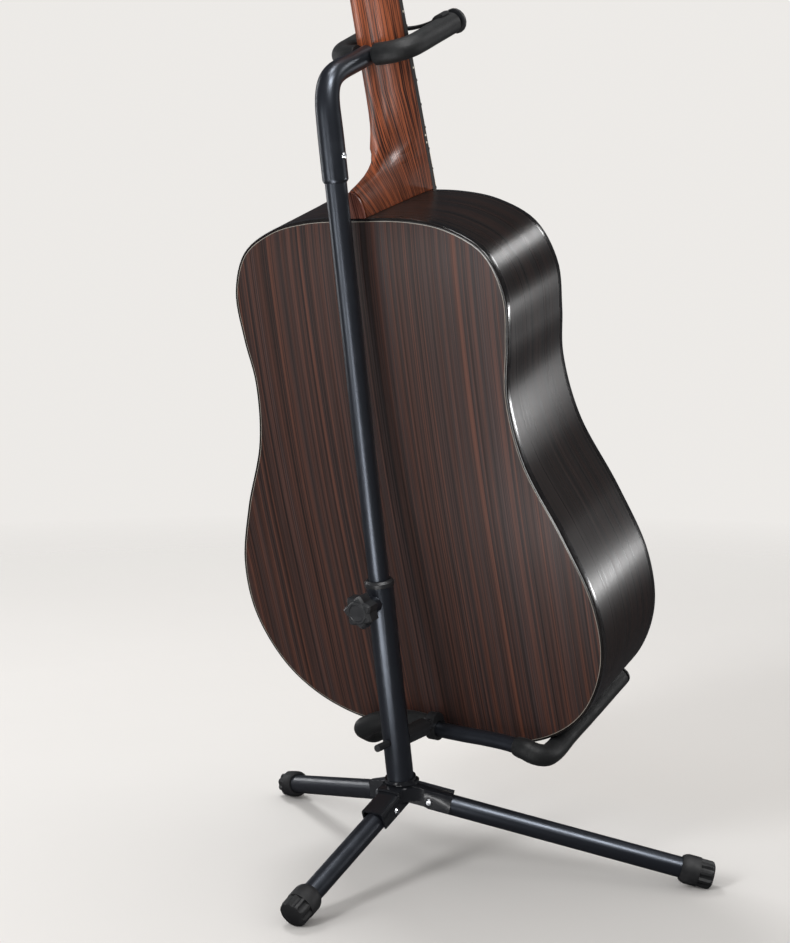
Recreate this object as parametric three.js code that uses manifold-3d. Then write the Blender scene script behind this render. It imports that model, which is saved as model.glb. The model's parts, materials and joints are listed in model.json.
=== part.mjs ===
// Acoustic guitar on a tubular floor stand, in millimetres, +Z up, the guitar's face towards -Y.
// The stand is symmetric about X = 0; the guitar leans back in it, held under its tail and round its neck.
import * as THREE from 'three';
import { mergeVertices } from 'three/addons/utils/BufferGeometryUtils.js';
import Module from 'manifold-3d';

const wasm = await Module();
wasm.setup();

// ---- Driving dimensions -------------------------------------------------------------------------
const GAP = 0.3;                 // clearance between neighbouring pieces
const FINE = 24;                 // sides of the large tubes
const COARSE = 12;               // sides of small round pieces

// Stand
const HUB_HEIGHT = 80;           // where the three leg axes meet, above the floor
const POST_LEAN = 10;            // degrees, towards +Y
const POST_D = 25;
const POST_WALL = 1.5;
const POST_BOTTOM = 12.6;        // along the post, from the hub point
const POST_TOP = 201;
const MAST_D = 19;
const MAST_WALL = 1.4;
const MAST_BOTTOM = 106;
const MAST_TOP = 588;
const COLLAR_TOP = 207;
const CLAMP_AT = 187;            // the clamp screw's height along the post
const STEM_AT = 51.5;            // the cradle stem's height along the post
const STEM_TILT = 6.5;           // degrees, the stem falls towards the front
const LEG_D = 19;
const LEG_WALL = 1.4;
const FRONT_REACH = 285;         // horizontal, hub to foot end
const REAR_REACH = 163;
const FRONT_SPREAD = 61;         // degrees each side of straight ahead
const FOOT_D = 27;
const FOOT_LENGTH = 30;
const FRONT_FOOT_HEIGHT = 11;    // of the foot's axis at its outer end, above the floor
const REAR_FOOT_HEIGHT = 10;
const PIVOT_AT = 27;             // leg pivot, from the hub point
const CHANNEL_END = 47;
const CHANNEL_SHEET = 1.8;
const CHANNEL_LOW = -5;          // lower edge of the channel's walls, from the leg's axis
const WEB_REACH = 22;            // how far the curved webs run along the channels
const CRADLE_TUBE_D = 14.5;
const CRADLE_FOAM_D = 20;

// Neck yoke
const ELBOW_BOTTOM = 560;        // along the post
const ELBOW_D = 22.4;
const SCREW_AT = 582;
const ELBOW_TIP_D = 17.4;
const YOKE = { y: 52.6, z: 742, rise: 24 };
const YOKE_HALF = 37.5;          // arm centre line to the middle
const YOKE_REACH = 86;
const YOKE_BEND = 24;
const YOKE_ROD_D = 10;
const YOKE_FOAM_D = 19;
const YOKE_CAP_R = 11.2;
const STRAP_AHEAD = 71;          // strap's distance ahead of the yoke's base
const STRAP_T = 2.6;
const STRAP_SAG = 4.6;

// Guitar: x across, z from the tail towards the head, y from the face to the back
const GUITAR = { lean: 19, roll: -0.57, yaw: 2.07, x: 16, y: -180.3, z: 150.7 };
const BODY_LENGTH = 508;
const TAIL_DEPTH = 111.6;
const NECK_END_DEPTH = 88.6;
const BACK_TAPER_FROM = 200;
const SCALE_LENGTH = 645;
const JOIN_FRET = 14;
const FRETS = 20;
const PLATE = 3;                 // soundboard and back thickness
const SIDE = 2.4;
const BINDING_DEEP = 6;
const BINDING_WIDE = 2.4;
const HALF_OUTLINE = [           // [distance from the tail, half width]
  [0, 0], [1, 40], [9, 98], [28, 140], [58, 171], [109, 193], [165, 193], [229, 172], [297, 143],
  [356, 135], [399, 140.5], [442, 142.5], [478, 127], [498, 94], [506.5, 55], [508, 0],
];
const OUTLINE_STEPS = 60;
const HOLE_R = 50;
const HOLE_AT = 361;
const FINGERBOARD_T = 6;
const PIN_DEPTH = 56;            // end pin, from the face
const NECK_DEEP = 17;
const HALF_WIDTH_JOIN = 26.8;
const HALF_WIDTH_NUT = 21.3;
const HEEL_LENGTH = 23;
const HEEL_HALF = 11.5;
const HEAD_TILT = 14;
const HEAD_LENGTH = 186;
const HEAD_T = 15;
const TUNER_AT = [46, 86, 126];
const STRING_SPREAD_BRIDGE = 54;

const fretAt = (n) => SCALE_LENGTH * (1 - 2 ** (-n / 12));
const NUT_AT = BODY_LENGTH + fretAt(JOIN_FRET);
const SADDLE_AT = NUT_AT - SCALE_LENGTH;
const BOARD_END = NUT_AT - fretAt(FRETS) - 4;
const rad = THREE.MathUtils.degToRad;
const V = (x, y, z) => new THREE.Vector3(x, y, z);

// ---- Materials ----------------------------------------------------------------------------------
const finish = (color, roughness, metalness = 0) => ({ color, roughness, metalness });
const PAINT = finish(0x17191c, 0.42, 0.2);
const GLOSS_PAINT = finish(0x0b0c0d, 0.22, 0.2);
const FOAM = finish(0x101213, 0.85);
const RUBBER = finish(0x121314, 0.8);
const PLASTIC = finish(0x0d0e0f, 0.5);
const ZINC = finish(0xc9ccd0, 0.3, 0.9);
const CHROME = finish(0xd8dade, 0.15, 1);
const BACK_WOOD = finish(0x3a2320, 0.4);
const SIDE_WOOD = finish(0x1d1614, 0.35);
const SPRUCE = finish(0xd9b27a, 0.45);
const INNER_WOOD = finish(0xb98a58, 0.7);
const NECK_WOOD = finish(0x8a4a2c, 0.35);
const EBONY = finish(0x17120f, 0.45);
const BINDING = finish(0x15100e, 0.35);
const BONE = finish(0xe9e2cf, 0.4);
const SHELL = finish(0x1a1210, 0.3);

// ---- Geometry helpers ---------------------------------------------------------------------------
function mesh(parent, name, geometry, look) {
  const item = new THREE.Mesh(geometry, new THREE.MeshStandardMaterial(look));
  item.name = name;
  parent.add(item);
  return item;
}

function group(parent, position, rotation = [0, 0, 0], order = 'XYZ') {
  const item = new THREE.Group();
  item.position.copy(position);
  item.rotation.set(...rotation.map(rad), order);
  parent.add(item);
  return item;
}

// A closed three.js geometry as a manifold solid, and back.
function solid(geometry) {
  const bare = geometry.clone();
  bare.deleteAttribute('normal');
  bare.deleteAttribute('uv');
  const merged = mergeVertices(bare, 1e-4);
  return new wasm.Manifold(new wasm.Mesh({
    numProp: 3,
    vertProperties: new Float32Array(merged.attributes.position.array),
    triVerts: new Uint32Array(merged.index.array),
  }));
}

function geometryOf(manifold) {
  const data = manifold.getMesh();
  const geometry = new THREE.BufferGeometry();
  geometry.setAttribute('position', new THREE.BufferAttribute(new Float32Array(data.vertProperties), 3));
  geometry.setIndex(new THREE.BufferAttribute(new Uint32Array(data.triVerts), 1));
  return geometry;
}

const join = (...parts) => parts.reduce((whole, part) => whole.add(part));
const cut = (whole, ...parts) => parts.reduce((rest, part) => rest.subtract(part), whole);

// Round bar, along Z by default, from one end to the other.
function bar(r, from, to, sides = FINE, axis = 'z') {
  const geometry = new THREE.CylinderGeometry(r, r, to - from, sides);
  geometry.translate(0, (from + to) / 2, 0);
  if (axis === 'z') geometry.rotateX(Math.PI / 2);
  if (axis === 'x') geometry.rotateZ(-Math.PI / 2);
  return geometry;
}

function box(from, to) {
  const size = V(...to).sub(V(...from));
  const geometry = new THREE.BoxGeometry(size.x, size.y, size.z);
  return geometry.translate((from[0] + to[0]) / 2, (from[1] + to[1]) / 2, (from[2] + to[2]) / 2);
}

const pipe = (r, bore, from, to, sides = FINE, axis = 'z') =>
  cut(solid(bar(r, from, to, sides, axis)), solid(bar(bore, from - 1, to + 1, sides, axis)));

// A turned piece: [radius, height] points, starting and ending on the axis or closing on themselves.
function turned(points, sides = COARSE) {
  const profile = points.map(([r, h]) => new THREE.Vector2(r, h));
  return new THREE.LatheGeometry(profile, sides).rotateX(Math.PI / 2);
}

function circle(r, sides) {
  const points = [];
  for (let k = 0; k < sides; k++) {
    const a = (2 * Math.PI * k) / sides;
    points.push(new THREE.Vector2(r * Math.cos(a), r * Math.sin(a)));
  }
  return points;
}

// A bar or tube bent along a curve. The bore's flats clear the stated radius.
const BORE_SIDES = 10;

function bent(curve, r, bore, sides, steps) {
  const shape = new THREE.Shape(circle(r, sides));
  const corner = bore / Math.cos(Math.PI / BORE_SIDES);
  if (bore > 0) shape.holes.push(new THREE.Path(circle(corner, BORE_SIDES).reverse()));
  return new THREE.ExtrudeGeometry(shape, { steps, bevelEnabled: false, extrudePath: curve });
}

// A closed skin over rings of points; each ring has the same number of points, and both ends are capped.
function loft(rings) {
  const n = rings[0].length;
  const positions = [];
  const index = [];
  rings.forEach((ring) => ring.forEach((p) => positions.push(p.x, p.y, p.z)));
  for (let i = 0; i + 1 < rings.length; i++) {
    for (let k = 0; k < n; k++) {
      const a = i * n + k;
      const b = i * n + ((k + 1) % n);
      index.push(a, b, b + n, a, b + n, a + n);
    }
  }
  const cap = (ring, offset, flip) => {
    const centre = ring.reduce((sum, p) => sum.add(p), V(0, 0, 0)).divideScalar(n);
    const c = positions.length / 3;
    positions.push(centre.x, centre.y, centre.z);
    for (let k = 0; k < n; k++) {
      const a = offset + k;
      const b = offset + ((k + 1) % n);
      index.push(...(flip ? [c, b, a] : [c, a, b]));
    }
  };
  cap(rings[0], 0, true);
  cap(rings[rings.length - 1], (rings.length - 1) * n, false);
  const geometry = new THREE.BufferGeometry();
  geometry.setAttribute('position', new THREE.Float32BufferAttribute(positions, 3));
  geometry.setIndex(index);
  return geometry;
}

// A round rod through straight runs, its rings square to the general direction of travel.
function rod(points, radius, sides) {
  const rings = points.map((p, i) => {
    const from = points[Math.max(i - 1, 0)];
    const to = points[Math.min(i + 1, points.length - 1)];
    const along = to.clone().sub(from).normalize();
    const side = V(1, 0, 0).cross(along).normalize();
    const up = along.clone().cross(side);
    const r = typeof radius === 'function' ? radius(i / (points.length - 1)) : radius;
    return circle(r, sides).map((q) => p.clone().addScaledVector(side, q.x).addScaledVector(up, q.y));
  });
  return loft(rings);
}

// ---- The whole object ---------------------------------------------------------------------------
const object = new THREE.Group();
const hub = V(0, 0, HUB_HEIGHT);
const post = group(object, hub, [-POST_LEAN, 0, 0]);

// ---- Lower post, collar and clamp ---------------------------------------------------------------
function lowerPost() {
  const tube = pipe(POST_D / 2, POST_D / 2 - POST_WALL, POST_BOTTOM, POST_TOP);
  const boltHole = solid(bar(3, -20, 20, COARSE, 'y').rotateX(rad(STEM_TILT)).translate(0, 0, STEM_AT));
  const saddle = solid(bar(POST_D / 2 - 0.5, 0, 300));
  const boss = cut(solid(bar(8, 8, 19, COARSE, 'y').translate(0, 0, CLAMP_AT)), saddle);
  const screwHole = solid(bar(4.4, 0, 20, COARSE, 'y').translate(0, 0, CLAMP_AT));
  mesh(post, 'lower_post', geometryOf(cut(join(tube, boss), boltHole, screwHole)), PAINT);
}

function postCollar() {
  const bore = MAST_D / 2 + GAP;
  const skirt = POST_D / 2 - POST_WALL - GAP;
  const rim = 13.4;
  mesh(post, 'post_collar', turned([
    [bore, POST_TOP - 5], [skirt, POST_TOP - 5], [skirt, POST_TOP + GAP], [rim, POST_TOP + GAP],
    [rim, COLLAR_TOP - 2], [rim - 2, COLLAR_TOP], [bore, COLLAR_TOP], [bore, POST_TOP - 5],
  ], FINE), PLASTIC);
}

// The knob turns on the post's rear side and presses its screw against the mast.
function clamp() {
  const at = group(post, V(0, 0, CLAMP_AT), [-90, 0, 0]);       // +Z of this group points to the rear
  mesh(at, 'clamp_screw', turned([[0, MAST_D / 2 + GAP], [4, MAST_D / 2 + GAP], [4, 27], [0, 27]]), ZINC);
  const lobes = 7;
  const outline = new THREE.Shape();
  const steps = 28;
  for (let k = 0; k <= steps; k++) {
    const a = (2 * Math.PI * k) / steps;
    const r = 14.2 + 1.9 * Math.cos(lobes * a);
    if (k === 0) outline.moveTo(r, 0);
    else if (k < steps) outline.lineTo(r * Math.cos(a), r * Math.sin(a));
  }
  const grip = new THREE.ExtrudeGeometry(outline, {
    depth: 10, bevelThickness: 2, bevelSize: 1.6, bevelOffset: -1.6, bevelSegments: 1,
  }).translate(0, 0, 25);
  const neck = bar(8.5, 19.4, 26, COARSE);
  const button = turned([
    [0, 35], [10.6, 35], [10.6, 37.4], [9.8, 38.2], [8.2, 38.2], [7.4, 37.2], [0, 37.2],
  ], 20);
  const socket = solid(bar(4 + GAP, 18, 27 + GAP, COARSE));
  const knob = cut(join(solid(grip), solid(neck), solid(button)), socket);
  mesh(at, 'clamp_knob', geometryOf(knob), PLASTIC);
}

// ---- Hub bracket, legs and feet -----------------------------------------------------------------
const LEGS = [
  { name: 'front_left', azimuth: 270 - FRONT_SPREAD, reach: FRONT_REACH, foot: FRONT_FOOT_HEIGHT },
  { name: 'front_right', azimuth: FRONT_SPREAD - 90, reach: FRONT_REACH, foot: FRONT_FOOT_HEIGHT },
  { name: 'rear', azimuth: 90, reach: REAR_REACH, foot: REAR_FOOT_HEIGHT },
];
LEGS.forEach((leg) => {
  leg.drop = HUB_HEIGHT - leg.foot;
  leg.slope = THREE.MathUtils.radToDeg(Math.atan2(leg.drop, leg.reach));
  leg.length = Math.hypot(leg.drop, leg.reach);
});

// A frame whose +X runs down the leg from the hub point.
const legFrame = (parent, leg, origin) => group(parent, origin, [0, leg.slope, leg.azimuth], 'ZYX');

function placed(geometry, leg) {
  const frame = legFrame(new THREE.Group(), leg, V(0, 0, 0));
  frame.updateMatrix();
  return solid(geometry.applyMatrix4(frame.matrix));
}

const CHANNEL_HALF = LEG_D / 2 + 0.6;
const CHANNEL_ROOF = LEG_D / 2 + GAP;

function hubBracket() {
  const wide = CHANNEL_HALF + CHANNEL_SHEET;
  const roof = CHANNEL_ROOF + CHANNEL_SHEET;
  const shells = LEGS.map((leg) => placed(channelBlock(0, CHANNEL_END, wide, CHANNEL_LOW, roof, 4), leg));
  const hollows = LEGS.map((leg) =>
    placed(channelBlock(-2, CHANNEL_END + 5, CHANNEL_HALF, -40, CHANNEL_ROOF, 3), leg));
  const webs = cut(webBlock(wide, CHANNEL_LOW, 11.6), webBlock(CHANNEL_HALF, -40, 11.6 - CHANNEL_SHEET));
  const plate = solid(bar(16, 9, 12.2));
  const seat = solid(bar(POST_D / 2 + 2, 12, 15).rotateX(rad(-POST_LEAN)));
  const socket = solid(bar(POST_D / 2 + GAP, 12.3, 30).rotateX(rad(-POST_LEAN)));
  const bolt = solid(bar(5, -10, 40, COARSE));
  const pinHoles = LEGS.map((leg) => placed(pinHole(), leg));
  const bracket = cut(join(...shells, webs, plate, seat), ...hollows, socket, bolt, ...pinHoles);
  mesh(group(object, hub), 'hub_bracket', geometryOf(bracket), GLOSS_PAINT);
}

// The space between the channels' walls: in plan a star with hollow flanks, its top falling outwards.
function webBlock(half, low, top) {
  const shape = new THREE.Shape();
  const polar = (r, degrees) => new THREE.Vector2(r * Math.cos(rad(degrees)), r * Math.sin(rad(degrees)));
  const azimuths = [90, 270 - FRONT_SPREAD, 270 + FRONT_SPREAD];
  azimuths.forEach((azimuth, k) => {
    const right = polar(WEB_REACH, azimuth).add(polar(half, azimuth - 90));
    const left = polar(WEB_REACH, azimuth).add(polar(half, azimuth + 90));
    const next = azimuths[(k + 1) % 3] + (k === 2 ? 360 : 0);
    const corner = polar(half / Math.sin(rad((next - azimuth) / 2)), (azimuth + next) / 2);
    const end = polar(WEB_REACH, next).add(polar(half, next - 90));
    if (k === 0) shape.moveTo(right.x, right.y);
    shape.lineTo(left.x, left.y);
    shape.quadraticCurveTo(corner.x, corner.y, end.x, end.y);
  });
  const prism = new THREE.ExtrudeGeometry(shape, { depth: top - low, bevelEnabled: false, curveSegments: 8 });
  const cone = turned([[0, low - 1], [60, low - 1], [60, top - 15], [14, top - 3.4], [0, top]], FINE);
  return solid(prism.translate(0, 0, low)).intersect(solid(cone));
}

// A bar along +X whose upper edges are rounded off, as a sheet folded over a tube.
function channelBlock(from, to, half, low, high, round) {
  const shape = new THREE.Shape();
  shape.moveTo(-half, low);
  shape.lineTo(half, low);
  shape.lineTo(half, high - round);
  shape.quadraticCurveTo(half, high, half - round, high);
  shape.lineTo(-half + round, high);
  shape.quadraticCurveTo(-half, high, -half, high - round);
  const settings = { depth: to - from, bevelEnabled: false, curveSegments: 2 };
  const geometry = new THREE.ExtrudeGeometry(shape, settings);
  return geometry.rotateX(Math.PI / 2).rotateZ(Math.PI / 2).translate(from, 0, 0);
}

function legPins() {
  const end = CHANNEL_HALF + CHANNEL_SHEET;
  const rivet = turned([
    [0, -end - 2], [2.4, -end - 1.8], [3.4, -end - GAP], [2.5, -end - GAP],
    [2.5, end + GAP], [3.4, end + GAP], [2.4, end + 1.8], [0, end + 2],
  ]).rotateX(Math.PI / 2).translate(PIVOT_AT, 0, 0);
  LEGS.forEach((leg) => mesh(legFrame(object, leg, hub), `rivet_${leg.name}`, rivet.clone(), ZINC));
}

const pinHole = () => bar(2.5 + GAP, -30, 30, COARSE, 'y').translate(PIVOT_AT, 0, 0);

function legsAndFeet() {
  for (const leg of LEGS) {
    const frame = legFrame(object, leg, hub);
    const end = leg.length - 6;
    const start = PIVOT_AT - 3;
    const knuckle = solid(new THREE.SphereGeometry(LEG_D / 2 - 0.2, 16, 8).translate(PIVOT_AT, 0, 0));
    const tube = join(solid(bar(LEG_D / 2, PIVOT_AT, end, FINE, 'x')), knuckle);
    const hollow = solid(bar(LEG_D / 2 - LEG_WALL, start, end + 1, FINE, 'x'));
    mesh(frame, `leg_${leg.name}`, geometryOf(cut(tube, hollow, solid(pinHole()))), PAINT);
    mesh(frame, `foot_${leg.name}`, foot(leg), RUBBER);
  }
}

// A rubber cap: smooth collar, then a ribbed outer half with a rounded end, cut flat where it stands.
function foot(leg) {
  const inner = leg.length - FOOT_LENGTH;
  const middle = inner + 0.52 * FOOT_LENGTH;
  const r = FOOT_D / 2;
  const ribs = 10;
  const star = new THREE.Shape();
  for (let k = 0; k < ribs * 4; k++) {
    const a = (2 * Math.PI * (k - 0.5)) / (ribs * 4);
    const radius = k % 4 < 2 ? r - 0.4 : r - 2;
    const x = radius * Math.cos(a);
    const y = radius * Math.sin(a);
    if (k === 0) star.moveTo(x, y);
    else star.lineTo(x, y);
  }
  const ribbed = new THREE.ExtrudeGeometry(star, { depth: leg.length - middle, bevelEnabled: false });
  const envelope = turned([
    [0, inner], [r - 2.4, inner], [r - 1, inner + 2], [r, inner + 5], [r, leg.length - 4],
    [r - 1.4, leg.length - 1.4], [r - 4, leg.length], [0, leg.length],
  ], 24).rotateY(Math.PI / 2);
  const collar = solid(bar(r, inner - 1, middle + 1, 24, 'x'));
  const bore = solid(bar(LEG_D / 2 + GAP, inner - 1, leg.length - 6 + GAP, FINE, 'x'));
  const blank = join(collar, solid(ribbed.rotateY(Math.PI / 2).translate(middle, 0, 0)));
  const cap = cut(blank.intersect(solid(envelope)), bore);
  const frame = legFrame(new THREE.Group(), leg, hub);
  frame.updateMatrix();
  const floor = box([-500, -500, 0], [500, 500, 400]).applyMatrix4(frame.matrix.clone().invert());
  return geometryOf(cap.intersect(solid(floor)));
}

// ---- Cradle -------------------------------------------------------------------------------------
// The tube dips from the stem to both sides, turns forward under the tail and rises with it.
const CRADLE_POINTS = [
  [-117, -205, 167.5], [-117, -180, 158.4], [-117, -140, 143.8], [-117, -100, 129.4], [-118, -74, 120.5],
  [-118, -60, 119.5], [-113, -51, 122], [-102, -49, 125.5], [-85, -50, 127.5], [-60, -51.5, 128],
  [-30, -53, 127.5], [0, -54.5, 128], [20, -54.5, 131], [45, -52, 130], [62, -50, 126],
  [74, -50, 121], [83, -53, 116], [86, -61, 111.8], [84.5, -72, 107.2], [82, -100, 115.9],
  [82, -140, 130.3], [82, -180, 144.9], [82, -205, 154],
].map((p) => V(...p));
const cradlePath = new THREE.CatmullRomCurve3(CRADLE_POINTS, false, 'centripetal');

// The stretch of a curve between two fractions of its length.
class Stretch extends THREE.Curve {
  constructor(curve, from, to) {
    super();
    Object.assign(this, { curve, from, to });
  }

  getPoint(t, target = new THREE.Vector3()) {
    return target.copy(this.curve.getPointAt(this.from + (this.to - this.from) * t));
  }
}

// The tube's length is walked in equal steps, and the foam sleeves end on a step.
const TIP = 0.006;
const CRADLE_STEPS = 46;
const LEFT_FOAM_STEPS = 16;
const RIGHT_FOAM_FROM = 25;
const cradleAt = (step) => TIP + ((1 - 2 * TIP) * step) / CRADLE_STEPS;

function cradle() {
  const run = (from, to, r, bore, sides) =>
    bent(new Stretch(cradlePath, cradleAt(from), cradleAt(to)), r, bore, sides, to - from);
  const sleeve = (from, to) => run(from, to, CRADLE_FOAM_D / 2, CRADLE_TUBE_D / 2 + GAP, 12);
  mesh(object, 'cradle_tube', run(0, CRADLE_STEPS, CRADLE_TUBE_D / 2, 0, 12), PAINT);
  mesh(object, 'cradle_foam_left', sleeve(0, LEFT_FOAM_STEPS), FOAM);
  mesh(object, 'cradle_foam_right', sleeve(RIGHT_FOAM_FROM, CRADLE_STEPS), FOAM);
  [['left', 0, 1], ['right', 1, -1]].forEach(([side, at, sign]) => {
    const tangent = cradlePath.getTangentAt(at).multiplyScalar(-sign);
    const cap = turned([[0, 0.8], [10, 0.8], [10, 2.6], [8.5, 4.2], [0, 4.8]], 18);
    cap.applyQuaternion(new THREE.Quaternion().setFromUnitVectors(V(0, 0, 1), tangent));
    const place = cradlePath.getPointAt(at ? 1 - TIP : TIP);
    mesh(object, `cradle_cap_${side}`, cap.translate(place.x, place.y, place.z), PLASTIC);
  });
}

// A stem from the post to a ring round the cradle tube, held by one long bolt.
function cradleStem() {
  const ringHalf = 4.5;
  const at = group(post, V(0, 0, STEM_AT), [STEM_TILT, 0, 0]);
  at.updateWorldMatrix(true, false);
  const middle = at.worldToLocal(CRADLE_POINTS.find((p) => p.x === 0).clone());
  const ring = solid(bar(11, -ringHalf, ringHalf, FINE, 'x').translate(0, middle.y, middle.z));
  const hump = solid(bar(9.5, -ringHalf, ringHalf, FINE, 'x').translate(0, middle.y + 1, 0));
  const throat = solid(bar(ringHalf, middle.y, -40, 16, 'y'));
  const stem = solid(bar(8.5, -43, -POST_D / 2 + 2, 20, 'y'));
  const postSpace = solid(bar(POST_D / 2 + GAP, -40, 40).rotateX(rad(-STEM_TILT)));
  const bore = solid(bar(3, -40, 0, COARSE, 'y'));
  const tube = solid(bent(new Stretch(cradlePath, 0.4, 0.7), CRADLE_TUBE_D / 2 + 0.55, 0, 16, 26)
    .applyMatrix4(at.matrixWorld.clone().invert()));
  mesh(at, 'cradle_stem', geometryOf(cut(join(stem, throat, ring, hump), postSpace, bore, tube)), PLASTIC);
  const thread = solid(bar(2.6, -38, 22, COARSE, 'y'));
  const bolt = join(thread, solid(bar(3.4, POST_D / 2 + GAP + 1.2, 30, COARSE, 'y')));
  mesh(at, 'cradle_bolt', geometryOf(bolt), PLASTIC);
}

// ---- Mast, elbow and yoke -----------------------------------------------------------------------
function mast() {
  mesh(post, 'mast_tube', geometryOf(pipe(MAST_D / 2, MAST_D / 2 - MAST_WALL, MAST_BOTTOM, MAST_TOP)), PAINT);
  const r = POST_D / 2 - POST_WALL - GAP;
  const plug = MAST_D / 2 - MAST_WALL - GAP;
  mesh(post, 'mast_guide', turned([
    [0, MAST_BOTTOM - 12], [r - 1, MAST_BOTTOM - 12], [r, MAST_BOTTOM - 11], [r, MAST_BOTTOM - GAP],
    [plug, MAST_BOTTOM - GAP], [plug, MAST_BOTTOM + 12], [0, MAST_BOTTOM + 12],
  ], 20), PLASTIC);
}

// Centre line of the elbow in the plane X = 0: up the mast's line, then forward into the yoke's base.
function elbowPath() {
  const along = V(0, Math.sin(rad(POST_LEAN)), Math.cos(rad(POST_LEAN)));
  const onMast = (s) => hub.clone().addScaledVector(along, s);
  const base = V(0, YOKE.y, YOKE.z);
  const forward = V(0, -Math.cos(rad(YOKE.rise)), Math.sin(rad(YOKE.rise)));
  const curve = new THREE.CubicBezierCurve3(
    onMast(618), onMast(653),
    base.clone().addScaledVector(forward, -46), base.clone().addScaledVector(forward, -12));
  return [onMast(ELBOW_BOTTOM), onMast(590), ...curve.getPoints(13), base];
}

function yokePath() {
  const half = YOKE_HALF;
  const path = new THREE.CurvePath();
  const point = (x, y) => V(x, y, 0);
  path.add(new THREE.LineCurve3(point(half, -YOKE_REACH), point(half, -YOKE_BEND)));
  path.add(new THREE.CubicBezierCurve3(
    point(half, -YOKE_BEND), point(half, -9), point(half - 9, 0), point(12, 0)));
  path.add(new THREE.LineCurve3(point(12, 0), point(-12, 0)));
  path.add(new THREE.CubicBezierCurve3(
    point(-12, 0), point(9 - half, 0), point(-half, -9), point(-half, -YOKE_BEND)));
  path.add(new THREE.LineCurve3(point(-half, -YOKE_BEND), point(-half, -YOKE_REACH)));
  return path;
}

const yoke = group(object, V(0, YOKE.y, YOKE.z), [-YOKE.rise, 0, 0]);

function neckElbow() {
  const points = elbowPath();
  const taper = (t) => THREE.MathUtils.lerp(ELBOW_D, ELBOW_TIP_D, THREE.MathUtils.smoothstep(t, 0.25, 1)) / 2;
  const shell = solid(rod(points, taper, 16));
  post.updateMatrix();
  yoke.updateMatrix();
  const socket = solid(bar(MAST_D / 2 + GAP, ELBOW_BOTTOM - 5, MAST_TOP + GAP).applyMatrix4(post.matrix));
  const rodSpace = solid(bar(YOKE_ROD_D / 2 + GAP, -20, 20, 12, 'x').applyMatrix4(yoke.matrix));
  const screwHole = solid(bar(2.4, -20, 0, COARSE, 'x').translate(0, 0, SCREW_AT).applyMatrix4(post.matrix));
  mesh(object, 'neck_elbow', geometryOf(cut(shell, socket, rodSpace, screwHole)), PAINT);
}

function elbowScrew() {
  const r = 3;
  const at = ELBOW_D / 2 + GAP;
  const screw = turned([
    [0, -at - 1.8], [r - 0.6, -at - 1.4], [r, -at], [2.1, -at], [2.1, -10], [0, -10],
  ], COARSE);
  mesh(post, 'elbow_screw', screw.rotateY(Math.PI / 2).translate(0, 0, SCREW_AT), ZINC);
}

function yokeArms() {
  const path = yokePath();
  mesh(yoke, 'yoke_rod', bent(new Stretch(path, 0.008, 0.992), YOKE_ROD_D / 2, 0, 10, 30), PAINT);
  const sleeve = (from, to) =>
    bent(new Stretch(path, from, to), YOKE_FOAM_D / 2, YOKE_ROD_D / 2 + GAP, 12, 13);
  const middle = 9.8 / path.getLength();
  mesh(yoke, 'yoke_foam_right', sleeve(0.014, 0.5 - middle), FOAM);
  mesh(yoke, 'yoke_foam_left', sleeve(0.5 + middle, 0.986), FOAM);
  [['right', YOKE_HALF], ['left', -YOKE_HALF]].forEach(([side, x]) => {
    const cap = turned([[0, 0], [YOKE_CAP_R, 0], [YOKE_CAP_R, 2.2], [YOKE_CAP_R - 0.9, 3.6], [0, 4.2]], 18);
    mesh(yoke, `yoke_cap_${side}`, cap.rotateX(Math.PI / 2).translate(x, -YOKE_REACH + 0.3, 0), PLASTIC);
  });
}

// A rubber strap across the mouth of the yoke: a ring on the right arm, and on the left one a hook
// over the top of the foam. Between them it sags a little.
function strap() {
  const inner = YOKE_FOAM_D / 2 + GAP;
  const outer = inner + STRAP_T;
  const wide = 12;
  const along = (shape, depth) => solid(new THREE.ExtrudeGeometry(shape, { depth, bevelEnabled: false })
    .rotateX(Math.PI / 2).translate(0, depth / 2 - STRAP_AHEAD, 0));
  const hook = new THREE.Shape();
  const steps = 8;
  const turn = rad(105) / steps;
  const arc = (r, k) => [r * Math.cos(turn * k) - YOKE_HALF, r * Math.sin(turn * k)];
  hook.moveTo(...arc(outer, 0));
  for (let k = 1; k <= steps; k++) hook.lineTo(...arc(outer, k));
  for (let k = steps; k >= 0; k--) hook.lineTo(...arc(inner, k));
  const band = new THREE.Shape();
  const reach = YOKE_HALF - inner - 0.4;
  const level = (x) => 0.4 + STRAP_SAG * (x / reach) ** 2;
  band.moveTo(-reach, level(reach) + STRAP_T);
  for (let k = -steps; k <= steps; k++) band.lineTo((reach * k) / steps, level((reach * k) / steps));
  for (let k = steps; k > -steps; k--) band.lineTo((reach * k) / steps, level((reach * k) / steps) + STRAP_T);
  const ring = pipe(outer, inner, -wide / 2 - STRAP_AHEAD, wide / 2 - STRAP_AHEAD, 20, 'y')
    .translate([YOKE_HALF, 0, 0]);
  mesh(yoke, 'neck_strap', geometryOf(join(along(band, 6), along(hook, wide), ring)), RUBBER);
}

// ---- Guitar body --------------------------------------------------------------------------------
const guitar = group(object, V(GUITAR.x, GUITAR.y, GUITAR.z), [-GUITAR.lean, GUITAR.roll, GUITAR.yaw], 'ZXY');

// Depth of the back at a distance u from the tail.
function backAt(u) {
  const t = Math.max(0, (u - BACK_TAPER_FROM) / (BODY_LENGTH - BACK_TAPER_FROM));
  return TAIL_DEPTH - (TAIL_DEPTH - NECK_END_DEPTH) * t ** 1.9;
}

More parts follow.
